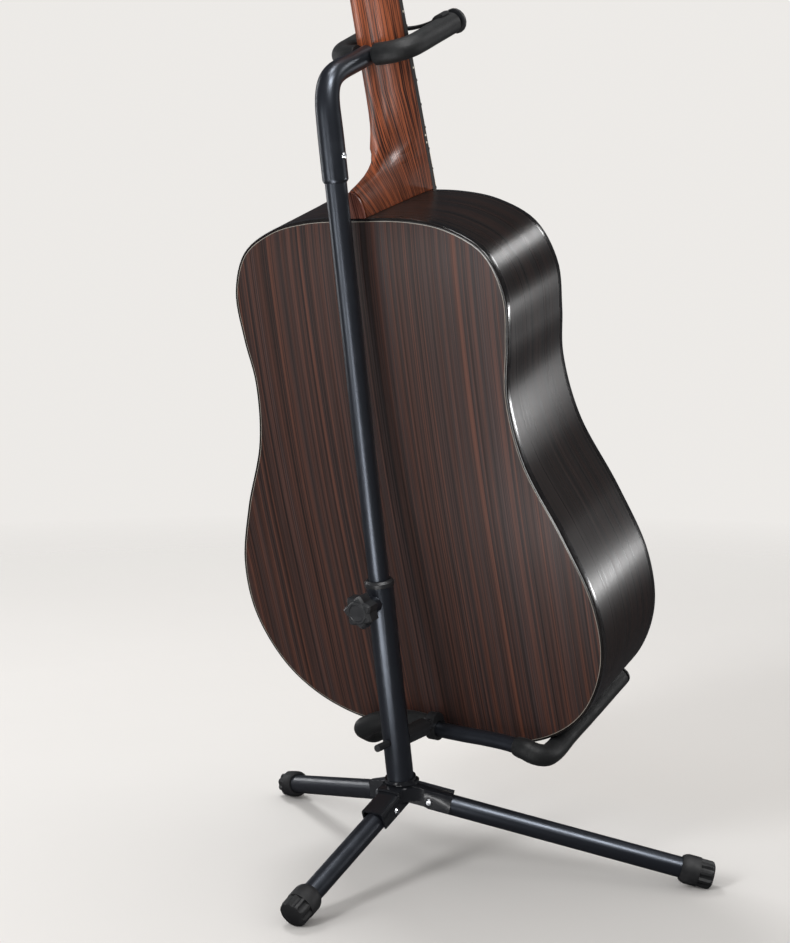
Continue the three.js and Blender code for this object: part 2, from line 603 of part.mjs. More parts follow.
// The body's outline, moved inwards by a distance: [x, u] points round the body from the tail.
const OUTLINE = (() => {
  const right = HALF_OUTLINE.map(([u, w]) => V(w, u, 0));
  const left = HALF_OUTLINE.slice(1, -1).reverse().map(([u, w]) => V(-w, u, 0));
  const curve = new THREE.CatmullRomCurve3([...right, ...left], true, 'centripetal');
  const points = curve.getSpacedPoints(OUTLINE_STEPS).slice(0, OUTLINE_STEPS);
  return points.map((p, k) => {
    const mirror = points[(OUTLINE_STEPS - k) % OUTLINE_STEPS];
    return new THREE.Vector2((p.x - mirror.x) / 2, (p.y + mirror.y) / 2);
  });
})();

function outline(inset) {
  const n = OUTLINE.length;
  return OUTLINE.map((p, k) => {
    const along = OUTLINE[(k + 1) % n].clone().sub(OUTLINE[(k + n - 1) % n]).normalize();
    return new THREE.Vector2(p.x - along.y * inset, p.y + along.x * inset);
  });
}

// A closed band that follows the body's outline between two insets and two depths.
function band(outer, inner, front, back) {
  const rings = [outline(outer), outline(inner)];
  const n = OUTLINE_STEPS;
  const positions = [];
  const index = [];
  for (let k = 0; k < n; k++) {
    rings.forEach((ring) => {
      const { x, y: u } = ring[k];
      positions.push(x, front(u), u, x, back(u), u);
    });
  }
  for (let k = 0; k < n; k++) {
    const a = 4 * k;
    const b = 4 * ((k + 1) % n);
    [[0, 1], [1, 3], [3, 2], [2, 0]].forEach(([p, q]) =>
      index.push(a + p, b + q, b + p, a + p, a + q, b + q));
  }
  const geometry = new THREE.BufferGeometry();
  geometry.setAttribute('position', new THREE.Float32BufferAttribute(positions, 3));
  geometry.setIndex(index);
  return geometry;
}

// A sheet that fills the outline at an inset, its faces at two depths that depend on u alone.
function sheet(inset, front, back) {
  const points = outline(inset);
  const n = points.length;
  const positions = [];
  const index = [];
  points.forEach(({ x, y: u }) => positions.push(x, front(u), u, x, back(u), u));
  const F = (k) => 2 * (k % n);
  const B = (k) => 2 * (k % n) + 1;
  for (let k = 0; k < n / 2; k++) {
    const [a, b, c, d] = [k, k + 1, n - k - 1, n - k];
    if (k < n / 2 - 1) index.push(F(a), F(b), F(c), B(a), B(c), B(b));
    if (k > 0) index.push(F(a), F(c), F(d), B(a), B(d), B(c));
  }
  for (let k = 0; k < n; k++) index.push(F(k), B(k + 1), F(k + 1), F(k), B(k), B(k + 1));
  const geometry = new THREE.BufferGeometry();
  geometry.setAttribute('position', new THREE.Float32BufferAttribute(positions, 3));
  geometry.setIndex(index);
  return geometry;
}

function body() {
  const flat = (y) => () => y;
  const back = (off) => (u) => backAt(u) - off;
  const plateInset = BINDING_WIDE + GAP;
  const hole = solid(bar(HOLE_R, -10, 20, 36, 'y').translate(0, 0, HOLE_AT));
  mesh(guitar, 'soundboard', geometryOf(cut(solid(sheet(plateInset, flat(0), flat(PLATE))), hole)), SPRUCE);
  mesh(guitar, 'back_plate', sheet(plateInset, back(PLATE), back(0)), BACK_WOOD);
  mesh(guitar, 'top_binding', band(0, BINDING_WIDE, flat(0), flat(BINDING_DEEP)), BINDING);
  mesh(guitar, 'back_binding', band(0, BINDING_WIDE, back(BINDING_DEEP), back(0)), BINDING);
  const rim = solid(band(0.1, SIDE, flat(BINDING_DEEP + GAP), back(BINDING_DEEP + GAP)));
  mesh(guitar, 'sides', geometryOf(cut(rim, solid(endPinHole()))), SIDE_WOOD);
}

const endPinHole = () => bar(4.4, -5, 40, COARSE).translate(0, PIN_DEPTH, 0);

// Blocks that join the sides, the neck and the plates at both ends of the body.
function blocks() {
  const block = (half, from, to, depth) =>
    solid(box([-half, PLATE + GAP, from], [half, depth - PLATE - GAP, to]));
  const rim = solid(band(-20, SIDE + GAP, () => -1, () => 200));
  const neckBlock = cut(block(38, BODY_LENGTH - 62, BODY_LENGTH + 2, NECK_END_DEPTH - 0.6), rim);
  mesh(guitar, 'neck_block', geometryOf(neckBlock), INNER_WOOD);
  const tailBlock = cut(block(45, -2, 26, TAIL_DEPTH), rim, solid(endPinHole()));
  mesh(guitar, 'tail_block', geometryOf(tailBlock), INNER_WOOD);
}

function braces() {
  const strips = (list, front, rear) => join(...list.map(([x0, u0, x1, u1]) => {
    const length = Math.hypot(x1 - x0, u1 - u0);
    const strip = box([-length / 2, front, -4], [length / 2, rear, 4]);
    return solid(strip.rotateY(-Math.atan2(u1 - u0, x1 - x0)).translate((x0 + x1) / 2, 0, (u0 + u1) / 2));
  }));
  const crossed = [[-124, 145, 127, 424], [124, 145, -127, 424], [-128, 426, 128, 426]];
  const topBraces = strips(crossed, PLATE + GAP, PLATE + 12);
  mesh(guitar, 'top_braces', geometryOf(topBraces), INNER_WOOD);
  const under = PLATE + GAP;
  const ladder = [[165, 160], [150, 262], [118, 352], [112, 430]].map(([half, u]) =>
    strips([[-half, u, half, u]], backAt(u + 4) - under - 10, backAt(u + 4) - under));
  const stations = [40, 120, 200, 250, 300, 350, 400, 434];
  const strip = loft(stations.map((u) => [
    V(-9, backAt(u) - under - 3, u), V(9, backAt(u) - under - 3, u),
    V(9, backAt(u) - under, u), V(-9, backAt(u) - under, u),
  ]));
  mesh(guitar, 'back_braces', geometryOf(join(solid(strip), ...ladder)), INNER_WOOD);
}

// ---- Neck ---------------------------------------------------------------------------------------
const halfWidth = (u) => THREE.MathUtils.mapLinear(
  u, BODY_LENGTH, NUT_AT, HALF_WIDTH_JOIN, HALF_WIDTH_NUT);

// Rear ridge of the heel and neck in the middle plane: [distance from the tail, depth].
const RIDGE = [
  [508, 87], [531, 87], [532.5, 79], [535, 66], [538.5, 53], [543.5, 41],
  [551, 30], [562, 22.5], [578, 18.2], [596, NECK_DEEP],
];

function ridgeDepth(u) {
  if (u >= RIDGE[RIDGE.length - 1][0]) return NECK_DEEP;
  const k = RIDGE.findIndex(([at]) => at > u) - 1;
  const [[u0, y0], [u1, y1]] = [RIDGE[k], RIDGE[k + 1]];
  return THREE.MathUtils.mapLinear(u, u0, u1, y0, y1);
}

// Where the ridge stands at a given depth.
function ridgeAt(depth) {
  const k = RIDGE.findIndex(([, y]) => y < depth);
  if (k < 1) return BODY_LENGTH + HEEL_LENGTH;
  const [[u0, y0], [u1, y1]] = [RIDGE[k - 1], RIDGE[k]];
  return THREE.MathUtils.mapLinear(depth, y0, y1, u0, u1);
}

// One cross-section of neck or heel: a closed ring of points from face edge to face edge round the back.
function neckSection(u) {
  const deep = ridgeDepth(u);
  const blend = THREE.MathUtils.smoothstep(u, 536, 585);
  const ring = [];
  const half = 8;
  for (let k = -half; k <= half; k++) {
    const t = Math.cos((Math.PI / 2) * (k / half));
    const y = deep * Math.min(1, t);
    const asNeck = halfWidth(u) * (1 - (y / deep) ** 1.75) ** (1 / 1.75);
    const flank = THREE.MathUtils.lerp(halfWidth(u), HEEL_HALF, (y / RIDGE[0][1]) ** 0.75);
    const run = y < NECK_DEEP + 1 ? 0 : (u - BODY_LENGTH) / (ridgeAt(y) - BODY_LENGTH);
    const asHeel = flank * Math.sqrt(Math.max(0, 1 - run ** 2.6));
    const x = THREE.MathUtils.lerp(asHeel, asNeck, blend) * Math.sign(k);
    ring.push(V(x, y, u));
  }
  return ring.reverse();
}

function headOutline() {
  const shape = new THREE.Shape();
  shape.moveTo(-22, 0);
  shape.lineTo(22, 0);
  shape.quadraticCurveTo(24, 14, 33, 26);
  shape.quadraticCurveTo(33, 90, 38, HEAD_LENGTH - 14);
  shape.quadraticCurveTo(22, HEAD_LENGTH - 2, 0, HEAD_LENGTH);
  shape.quadraticCurveTo(-22, HEAD_LENGTH - 2, -38, HEAD_LENGTH - 14);
  shape.quadraticCurveTo(-33, 90, -33, 26);
  shape.quadraticCurveTo(-24, 14, -22, 0);
  return shape;
}

// The head's own frame: +Z up the head, -Y out of its face.
const head = group(guitar, V(0, 0, NUT_AT + 6), [-HEAD_TILT, 0, 0]);

function neck() {
  const stations = [
    508.3, 514, 519, 524, 528, 531, 533, 535.5, 538.5, 542,
    546, 551, 557, 564, 572, 582, 596, 640, 750, NUT_AT + 4,
  ];
  const shaft = solid(loft(stations.map((u) => neckSection(u))));
  head.updateMatrix();
  const blade = solid(headPlate());
  const holes = tunerPlaces().map(({ x, z }) =>
    solid(bar(3 + GAP, -5, HEAD_T + 5, 8, 'y').translate(x, 0, z)));
  const drilled = cut(blade, ...holes);
  const placedHead = solid(geometryOf(drilled).applyMatrix4(head.matrix));
  const volute = solid(box([-20.5, 0, NUT_AT - 8], [20.5, 13, NUT_AT + 10]));
  mesh(guitar, 'neck', geometryOf(join(shaft, placedHead, volute)), NECK_WOOD);
}

function headPlate() {
  const settings = { depth: HEAD_T, bevelEnabled: false, curveSegments: 5 };
  const geometry = new THREE.ExtrudeGeometry(headOutline(), settings);
  return geometry.rotateX(Math.PI / 2).translate(0, HEAD_T, 0);
}

function tunerPlaces() {
  const places = [];
  for (const side of [-1, 1]) {
    const name = side < 0 ? 'bass' : 'treble';
    TUNER_AT.forEach((z, k) =>
      places.push({ side, x: side * (21 + 2 * k), z, label: `${name}_${k + 1}` }));
  }
  return places;
}

function fingerboard() {
  const low = 0.8 - FINGERBOARD_T;
  const ring = (u, half) =>
    [[half, 0], [-half, 0], [-half, low], [0, -FINGERBOARD_T], [half, low]].map(([x, y]) => V(x, y, u))
    .map((p) => p.setY(p.y - GAP));
  const board = solid(loft([ring(BOARD_END, halfWidth(BOARD_END)), ring(NUT_AT, HALF_WIDTH_NUT)]));
  const wires = [];
  for (let n = 1; n <= FRETS; n++) {
    const u = NUT_AT - fretAt(n);
    const half = halfWidth(u) - 0.5;
    wires.push(solid(box([-half, -FINGERBOARD_T - GAP - 0.9, u - 1.1], [half, -FINGERBOARD_T + 1, u + 1.1])));
  }
  mesh(guitar, 'fingerboard', geometryOf(join(board, ...wires)), EBONY);
  const nut = box([-HALF_WIDTH_NUT, -FINGERBOARD_T - 2.4, NUT_AT + GAP], [HALF_WIDTH_NUT, -GAP, NUT_AT + 5]);
  mesh(guitar, 'nut', nut, BONE);
  mesh(guitar, 'heel_cap', heelCap(), BINDING);
}

function heelCap() {
  const shape = new THREE.Shape();
  shape.moveTo(-HEEL_HALF, BODY_LENGTH + GAP);
  shape.lineTo(HEEL_HALF, BODY_LENGTH + GAP);
  const tip = BODY_LENGTH + HEEL_LENGTH;
  shape.bezierCurveTo(HEEL_HALF, BODY_LENGTH + 16, 7, tip, 0, tip);
  shape.bezierCurveTo(-7, tip, -HEEL_HALF, BODY_LENGTH + 16, -HEEL_HALF, BODY_LENGTH + GAP);
  const plate = new THREE.ExtrudeGeometry(shape, { depth: 2.2, bevelEnabled: false, curveSegments: 8 });
  return plate.rotateX(Math.PI / 2).translate(0, RIDGE[0][1] + 2.2 + GAP, 0);
}

// ---- Bridge, strings and trim -------------------------------------------------------------------
function bridge() {
  const shape = new THREE.Shape();
  const [half, wing, mid] = [77, 10, 16];
  shape.moveTo(-half, -wing);
  shape.quadraticCurveTo(-46, -wing, -34, -mid);
  shape.lineTo(34, -mid);
  shape.quadraticCurveTo(46, -wing, half, -wing);
  shape.lineTo(half, wing);
  shape.quadraticCurveTo(46, wing, 34, mid);
  shape.lineTo(-34, mid);
  shape.quadraticCurveTo(-46, wing, -half, wing);
  const block = solid(new THREE.ExtrudeGeometry(shape, { depth: 8, bevelEnabled: false, curveSegments: 4 })
    .rotateX(Math.PI / 2).translate(0, -GAP, SADDLE_AT - 10));
  const slot = solid(box([-37 - GAP, -20, SADDLE_AT - 1.6 - GAP], [37 + GAP, -4, SADDLE_AT + 1.6 + GAP]));
  const pin = turned([[0, 6], [3.8, 6], [3.8, 9.6], [3.2, 12], [0, 13]], 10).rotateX(Math.PI / 2);
  const pins = stringX(STRING_SPREAD_BRIDGE).map((x) => solid(pin.clone().translate(x, 0, SADDLE_AT - 14)));
  mesh(guitar, 'bridge', geometryOf(cut(join(block, ...pins), slot)), EBONY);
  mesh(guitar, 'saddle', box([-37, -11.4, SADDLE_AT - 1.6], [37, -4 - GAP, SADDLE_AT + 1.6]), BONE);
}

const stringX = (spread) => [0, 1, 2, 3, 4, 5].map((k) => -spread / 2 + (spread * k) / 5);

function trim() {
  const guard = new THREE.Shape();
  guard.moveTo(30, HOLE_AT - 54);
  guard.bezierCurveTo(46, HOLE_AT - 46, 60, HOLE_AT - 26, 62.5, HOLE_AT);
  guard.bezierCurveTo(70, HOLE_AT + 4, 88, HOLE_AT - 2, 92, HOLE_AT - 20);
  guard.bezierCurveTo(96, HOLE_AT - 50, 116, HOLE_AT - 90, 106, HOLE_AT - 116);
  guard.bezierCurveTo(84, HOLE_AT - 132, 44, HOLE_AT - 100, 30, HOLE_AT - 54);
  const plate = new THREE.ExtrudeGeometry(guard, { depth: 1, bevelEnabled: false, curveSegments: 6 });
  mesh(guitar, 'pickguard', plate.rotateX(Math.PI / 2).translate(0, -GAP, 0), SHELL);
  const pin = turned([
    [0, -9.6], [5, -9], [7.4, -6], [7, -3.2], [4, -2.6 + GAP], [3.8, 22], [0, 22],
  ], 16);
  mesh(guitar, 'end_pin', pin.translate(0, 56, 0), BONE);
}

// ---- Tuning machines ----------------------------------------------------------------------------
function tuners() {
  const rear = HEAD_T + GAP;
  for (const side of [-1, 1]) {
    const strip = box([side * 24 - 4, rear, TUNER_AT[0] - 12], [side * 24 + 4, rear + 1.6, TUNER_AT[2] + 12]);
    const parts = [solid(strip)];
    for (const { x, z, label } of tunerPlaces().filter((place) => place.side === side)) {
      parts.push(solid(box([x - 7, rear, z - 8], [x + 7, rear + 10, z + 8])));
      const capstan = turned([
        [0, -rear - 2], [3, -rear - 2], [3, 7], [2.2, 8.4], [3, 10], [3, 14], [2, 14.6], [0, 14.6],
      ], 8);
      parts.push(solid(capstan.rotateX(Math.PI / 2).translate(x, 0, z)));
      mesh(head, `tuner_button_${label}`, button(side).translate(x, rear + 5, z), CHROME);
    }
    mesh(head, `tuner_plate_${side < 0 ? 'bass' : 'treble'}`, geometryOf(join(...parts)), CHROME);
  }
}

// A shaft with an oval button, pointing out to one side.
function button(side) {
  const shape = turned([
    [0, 7.3], [2, 7.3], [2, 15], [4.5, 17], [6.6, 22], [7, 28], [5.6, 33.5], [3, 35.4], [0, 35.8],
  ], 10).rotateY(side * Math.PI / 2);
  const { position } = shape.attributes;
  for (let k = 0; k < position.count; k++) {
    if (Math.abs(position.getX(k)) > 16) position.setY(k, position.getY(k) * 0.55);
  }
  return shape;
}

// ---- Assembly -----------------------------------------------------------------------------------
lowerPost();
postCollar();
clamp();
hubBracket();
legPins();
legsAndFeet();
cradle();
cradleStem();
mast();
neckElbow();
elbowScrew();
yokeArms();
strap();
body();
blocks();
braces();
neck();
fingerboard();
bridge();
trim();
tuners();

// The origin is the middle of the bounding box, on the floor.
object.updateMatrixWorld(true);
const bounds = new THREE.Box3().setFromObject(object, true);
object.position.set(-(bounds.min.x + bounds.max.x) / 2, -(bounds.min.y + bounds.max.y) / 2, -bounds.min.z);

export default object;
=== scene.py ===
"""Looks of an acoustic guitar on its stand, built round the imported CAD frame. Metres, +Z up."""
import json
import math

import bmesh
import bpy
from mathutils import Matrix, Vector, noise

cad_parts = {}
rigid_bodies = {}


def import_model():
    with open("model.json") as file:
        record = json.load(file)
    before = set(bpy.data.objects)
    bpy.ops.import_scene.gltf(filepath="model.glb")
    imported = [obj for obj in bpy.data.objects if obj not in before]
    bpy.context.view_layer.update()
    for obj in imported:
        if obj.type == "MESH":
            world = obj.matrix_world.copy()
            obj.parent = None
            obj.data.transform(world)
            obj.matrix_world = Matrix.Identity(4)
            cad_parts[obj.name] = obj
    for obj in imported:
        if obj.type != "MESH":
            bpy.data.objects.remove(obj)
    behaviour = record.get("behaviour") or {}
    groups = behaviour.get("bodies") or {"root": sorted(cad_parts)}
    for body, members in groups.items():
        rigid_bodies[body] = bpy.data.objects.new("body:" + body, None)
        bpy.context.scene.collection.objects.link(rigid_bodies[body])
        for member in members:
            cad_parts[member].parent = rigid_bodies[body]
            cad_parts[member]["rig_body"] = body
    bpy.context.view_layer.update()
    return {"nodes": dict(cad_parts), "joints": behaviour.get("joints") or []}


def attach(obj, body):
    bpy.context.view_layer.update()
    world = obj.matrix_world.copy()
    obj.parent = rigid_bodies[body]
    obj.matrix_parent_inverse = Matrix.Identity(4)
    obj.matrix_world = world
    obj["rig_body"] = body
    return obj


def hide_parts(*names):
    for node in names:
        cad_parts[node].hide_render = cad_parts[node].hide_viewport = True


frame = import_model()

MM = 0.001
JOINTS = {joint["name"]: joint for joint in frame["joints"]}


# ---- Frames taken from the CAD -------------------------------------------------------------------
def points_of(node):
    return [v.co for v in frame["nodes"][node].data.vertices]


def extent(node, axis):
    along = [axis.dot(p) for p in points_of(node)]
    return min(along), max(along)


def basis(x, y, z, origin):
    matrix = Matrix((x, y, z)).transposed().to_4x4()
    matrix.translation = origin
    return matrix


# The guitar: x across the face, y from the face to the back, z from the tail to the head.
GUITAR_Z = Vector(JOINTS["guitar_lift"]["axis"]).normalized()
GUITAR_X = Vector(JOINTS["tuner_turn_treble_1"]["axis"]).normalized()
GUITAR_Y = GUITAR_Z.cross(GUITAR_X).normalized()
GUITAR = basis(
    GUITAR_X, GUITAR_Y, GUITAR_Z,
    GUITAR_X * sum(extent("top_binding", GUITAR_X)) / 2
    + GUITAR_Y * extent("top_binding", GUITAR_Y)[0]
    + GUITAR_Z * extent("top_binding", GUITAR_Z)[0],
)

# The post: z up the tubes. HUB lies on its axis, below and inside the clamp's screw.
CLAMP_AT = 187 * MM
CLAMP_OUT = 30 * MM
POST_Z = Vector(JOINTS["mast_slide"]["axis"]).normalized()
POST_Y = Vector(JOINTS["clamp_turn"]["axis"]).normalized()
HUB = Vector(JOINTS["clamp_turn"]["pos_m"]) - POST_Z * CLAMP_AT - POST_Y * CLAMP_OUT
HUB_HEIGHT = 80 * MM
STAND = Matrix.Translation(HUB - Vector((0, 0, HUB_HEIGHT)))

# The yoke: its arms point towards -y, and the strap turns about one of them.
YOKE_BASE = Vector((0, 52.6, 742)) * MM
YOKE_Y = Vector(JOINTS["strap_swing"]["axis"]).normalized()
YOKE = basis(Vector((1, 0, 0)), YOKE_Y, Vector((1, 0, 0)).cross(YOKE_Y), STAND @ YOKE_BASE)


# ---- Materials -----------------------------------------------------------------------------------
# A Mix node's sockets for colours, and the span that most of a noise pattern's values lie in.
MIX_FACTOR, MIX_A, MIX_B, MIX_RESULT = 0, 6, 7, 2
NOISE_SPAN = (0.3, 0.7)


def opaque(colour):
    """A node's output as it is, or a plain colour with full alpha."""
    return colour if isinstance(colour, bpy.types.NodeSocket) else (*colour, 1)


class Shader:
    """A material whose nodes are added one call at a time."""

    def __init__(self, name, **surface):
        self.material = bpy.data.materials.new(name)
        self.material.use_nodes = True
        self.tree = self.material.node_tree
        self.surface = self.tree.nodes["Principled BSDF"]
        self.put(self.surface, surface)
        self.place = self.node("TexCoord").outputs["Object"]

    def put(self, node, sockets):
        for key, value in sockets.items():
            socket = node.inputs[key]
            if isinstance(value, bpy.types.NodeSocket):
                self.tree.links.new(value, socket)
            else:
                socket.default_value = value

    def node(self, kind, sockets=None, **settings):
        made = self.tree.nodes.new("ShaderNode" + kind)
        for key, value in settings.items():
            setattr(made, key, value)
        self.put(made, sockets or {})
        return made

    def use_frame(self, matrix):
        """Texture space becomes that of a frame such as the guitar's own."""
        self.place = self.node("Mapping", {
            "Vector": self.place,
            "Location": matrix.translation,
            "Rotation": matrix.to_euler("XYZ"),
        }, vector_type="TEXTURE").outputs[0]

    def scaled(self, scale, shift=(0, 0, 0), source=None):
        return self.node("Mapping", {
            "Vector": source or self.place, "Scale": scale, "Location": shift,
        }).outputs[0]

    def noise(self, scale, detail=2.0, roughness=0.5, vector=None, distortion=0.0):
        return self.node("TexNoise", {
            "Vector": vector or self.place, "Scale": scale, "Detail": detail,
            "Roughness": roughness, "Distortion": distortion,
        }).outputs[0]

    def math(self, operation, a, b):
        return self.node("Math", {0: a, 1: b}, operation=operation).outputs[0]

    def spread(self, value, low, high, to_low=0.0, to_high=1.0):
        return self.node("MapRange", {
            "Value": value, "From Min": low, "From Max": high, "To Min": to_low, "To Max": to_high,
        }).outputs[0]

    def ramp(self, value, *stops):
        made = self.node("ValToRGB", {"Fac": value})
        elements = made.color_ramp.elements
        while len(elements) < len(stops):
            elements.new(0.5)
        for element, (position, colour) in zip(elements, stops):
            element.position = position
            element.color = (*colour, 1)
        return made.outputs[0]

    def mix(self, factor, a, b):
        made = self.node("Mix", data_type="RGBA")
        self.put(made, {MIX_FACTOR: factor, MIX_A: opaque(a), MIX_B: opaque(b)})
        return made.outputs[MIX_RESULT]

    def parts(self):
        return self.node("SeparateXYZ", {0: self.place}).outputs

    def bump(self, height, distance, strength):
        made = self.node("Bump", {"Height": height, "Distance": distance, "Strength": strength})
        previous = self.surface.inputs["Normal"].links
        if previous:
            self.tree.links.new(previous[0].from_socket, made.inputs["Normal"])
        self.put(self.surface, {"Normal": made.outputs[0]})

    def colour(self, value):
        self.put(self.surface, {"Base Color": opaque(value)})

    def rough(self, pattern, low, high, span=NOISE_SPAN):
        """Roughness that follows a pattern from one value to another."""
        self.put(self.surface, {"Roughness": self.spread(pattern, *span, low, high)})


def powder_coat():
    """Satin black paint with a faint blue cast and fine orange peel."""
    s = Shader("powder_coat", **{"Specular IOR Level": 0.75, "Specular Tint": (0.78, 0.86, 1.0, 1)})
    s.colour(s.mix(s.noise(14, 3), (0.0085, 0.0095, 0.0125), (0.013, 0.0145, 0.019)))
    s.rough(s.noise(60, 3), 0.30, 0.37)
    s.bump(s.noise(1500, 2), 0.00004, 0.5)
    return s


def gloss_black():
    s = Shader("gloss_black_steel", **{"Coat Weight": 0.4, "Coat Roughness": 0.08})
    s.colour(s.mix(s.noise(40, 2), (0.008, 0.009, 0.011), (0.014, 0.015, 0.018)))
    s.rough(s.noise(90, 3), 0.16, 0.26)
    s.bump(s.noise(260, 2), 0.00012, 0.35)
    return s


def moulded_plastic():
    s = Shader("moulded_plastic", **{"Specular IOR Level": 0.5})
    s.colour(s.mix(s.noise(70, 3), (0.013, 0.014, 0.016), (0.022, 0.023, 0.026)))
    s.rough(s.noise(200, 2), 0.36, 0.5)
    s.bump(s.noise(2400, 2), 0.00005, 0.5)
    return s


def zinc_plate():
    s = Shader("zinc_plate", Metallic=1.0)
    s.colour(s.mix(s.noise(300, 3), (0.55, 0.57, 0.6), (0.8, 0.81, 0.82)))
    s.rough(s.noise(800, 2), 0.2, 0.36)
    s.bump(s.noise(3000, 1), 0.00002, 0.4)
    return s


def foot_rubber():
    s = Shader("foot_rubber", **{"Specular IOR Level": 0.4})
    dust = s.spread(s.noise(45, 4, 0.6), 0.45, 0.75)
    s.colour(s.mix(dust, (0.012, 0.0125, 0.014), (0.028, 0.028, 0.03)))
    s.rough(s.noise(120, 3), 0.5, 0.68)
    s.bump(s.noise(1600, 2), 0.00008, 0.5)
    return s


def foam_skin():
    """Closed-cell foam: a matte skin of small cells with a few larger dimples, with painted shade in each
    cell's hollow.
    """
    s = Shader("foam", **{"Sheen Weight": 0.03, "Sheen Roughness": 0.5, "Specular IOR Level": 0.35})
    cells = s.node("TexVoronoi", {"Vector": s.place, "Scale": 1100.0}).outputs["Distance"]
    # Painted shade: the colour darkens towards each cell's middle, where the bump below sinks the surface.
    s.colour(s.ramp(cells, (0.1, (0.004, 0.0045, 0.005)), (0.6, (0.011, 0.012, 0.013))))
    s.rough(s.noise(90, 3), 0.48, 0.62)
    s.bump(cells, 0.00022, 0.6)
    s.bump(s.noise(160, 3), 0.0005, 0.35)
    return s


def stretched_streaks(s, across, along, shift, detail):
    """Noise that runs along the grain: across is streaks to the metre, along the same lengthwise."""
    return s.noise(1.0, detail, 0.6, s.scaled((across, across, along), shift))


def wavy(s, amount, frequency):
    """Texture space bent a little sideways, so that no grain line is ruled straight."""
    drift = s.noise(1.0, 2, 0.5, s.scaled((frequency, frequency, frequency * 0.35), (3, 1, 7)))
    offset = s.math("MULTIPLY", s.math("SUBTRACT", drift, 0.5), amount)
    shift = s.node("CombineXYZ", {"X": offset, "Y": offset, "Z": 0.0}).outputs[0]
    s.place = s.node("VectorMath", {0: s.place, 1: shift}, operation="ADD").outputs[0]


def dark_laminate(name, base, red, grey, black, gloss, shine, across, along):
    """Brown veneer ruled with fine red, grey and near-black streaks, all along the grain."""
    s = Shader(name, **{"Specular IOR Level": shine})
    s.use_frame(GUITAR)
    wavy(s, 0.002, 2.5)

    def ruled(count, drift, shift, detail):
        scale = [count * k + drift * j for k, j in zip(across, along)]
        return s.noise(1.0, detail, 0.6, s.scaled(scale, shift))

    broad = ruled(34, 0.25, (1.7, 0, 0), 2)
    middle = ruled(170, 0.35, (4.1, 2, 0), 3)
    narrow = ruled(420, 0.6, (6.6, 1, 2), 3)
    fine = ruled(800, 1.1, (8.3, 5, 1), 3)
    hair = ruled(1700, 8, (2.9, 9, 4), 2)
    wood = s.mix(s.spread(broad, 0.35, 0.65), base, grey)
    streaks = (
        (middle, 0.46, 0.66, 0.8, red), (narrow, 0.48, 0.66, 0.85, black), (fine, 0.52, 0.70, 0.65, red),
        (fine, 0.46, 0.30, 0.75, black), (hair, 0.50, 0.7, 0.55, black),
    )
    for pattern, start, full, strength, colour in streaks:
        wood = s.mix(s.spread(pattern, start, full, 0, strength), wood, colour)
    s.colour(wood)
    s.rough(fine, gloss, gloss + 0.08)
    s.bump(s.math("ADD", hair, fine), 0.00005, 0.3)
    return s


def neck_timber(name, light, middle, dark, fan):
    """Strongly striped timber, its growth layers spreading out where the neck swells into the heel."""
    s = Shader(name, **{"Specular IOR Level": 0.3, "Coat Weight": 0.12, "Coat Roughness": 0.2})
    s.use_frame(GUITAR)
    wavy(s, 0.003, 14)
    x, y, z = s.parts()
    near_heel = s.spread(z, 0.60, 0.50)
    fanned = s.math("MULTIPLY", s.math("MULTIPLY", y, near_heel), fan)
    layer = s.math("ADD", x, s.math("ADD", fanned, s.math("MULTIPLY", y, 0.3)))
    across = s.math("MULTIPLY", y, 0.04)
    along = s.math("MULTIPLY", z, 0.010)
    grain = s.node("CombineXYZ", {"X": layer, "Y": across, "Z": along}).outputs[0]
    wide = s.noise(1.0, 2, 0.5, s.scaled((330, 330, 330), (5, 0, 0), grain))
    thin = s.noise(1.0, 3, 0.55, s.scaled((1150, 1150, 1150), (1, 4, 0), grain))
    wood = s.ramp(wide, (0.30, middle), (0.44, light), (0.56, middle), (0.68, light))
    wood = s.mix(s.spread(thin, 0.46, 0.58, 0, 0.93), wood, dark)
    pores = stretched_streaks(s, 2200, 40, (3, 3, 3), 2)
    wood = s.mix(s.spread(pores, 0.58, 0.7, 0, 0.4), wood, dark)
    s.colour(wood)
    s.rough(thin, 0.32, 0.42)
    s.bump(s.math("ADD", pores, thin), 0.00006, 0.3)
    return s


def ebony():
    s = Shader("ebony", **{"Specular IOR Level": 0.45})
    s.use_frame(GUITAR)
    grain = stretched_streaks(s, 900, 18, (2, 2, 2), 3)
    s.colour(s.ramp(grain, (0.35, (0.010, 0.008, 0.0075)), (0.7, (0.030, 0.021, 0.017))))
    s.rough(grain, 0.38, 0.52)
    s.bump(grain, 0.00008, 0.5)
    return s


def spruce_top():
    """Straight fine growth lines, with the ring inlay round the sound hole."""
    s = Shader("soundboard_spruce", **{"Coat Weight": 0.4, "Coat Roughness": 0.12})
    s.use_frame(GUITAR)
    x, _, z = s.parts()
    lines = s.noise(1.0, 2, 0.5, s.scaled((700, 1, 2.5)))
    tone = s.noise(1.0, 2, 0.5, s.scaled((30, 1, 0.8), (4, 0, 0)))
    wood = s.mix(tone, (0.60, 0.36, 0.15), (0.72, 0.47, 0.22))
    wood = s.mix(s.spread(lines, 0.5, 0.7, 0, 0.55), wood, (0.42, 0.21, 0.08))
    up = s.math("SUBTRACT", z, HOLE_AT * MM)
    from_hole = s.node("CombineXYZ", {"X": x, "Y": up, "Z": 0.0}).outputs[0]
    radius = s.node("VectorMath", {0: from_hole}, operation="LENGTH").outputs["Value"]
    for inner, outer, ring in ROSETTE:
        beyond = s.math("GREATER_THAN", radius, inner * MM)
        within = s.math("LESS_THAN", radius, outer * MM)
        wood = s.mix(s.math("MULTIPLY", beyond, within), wood, ring)
    s.colour(wood)
    s.rough(lines, 0.26, 0.36)
    s.bump(lines, 0.00005, 0.3)
    return s


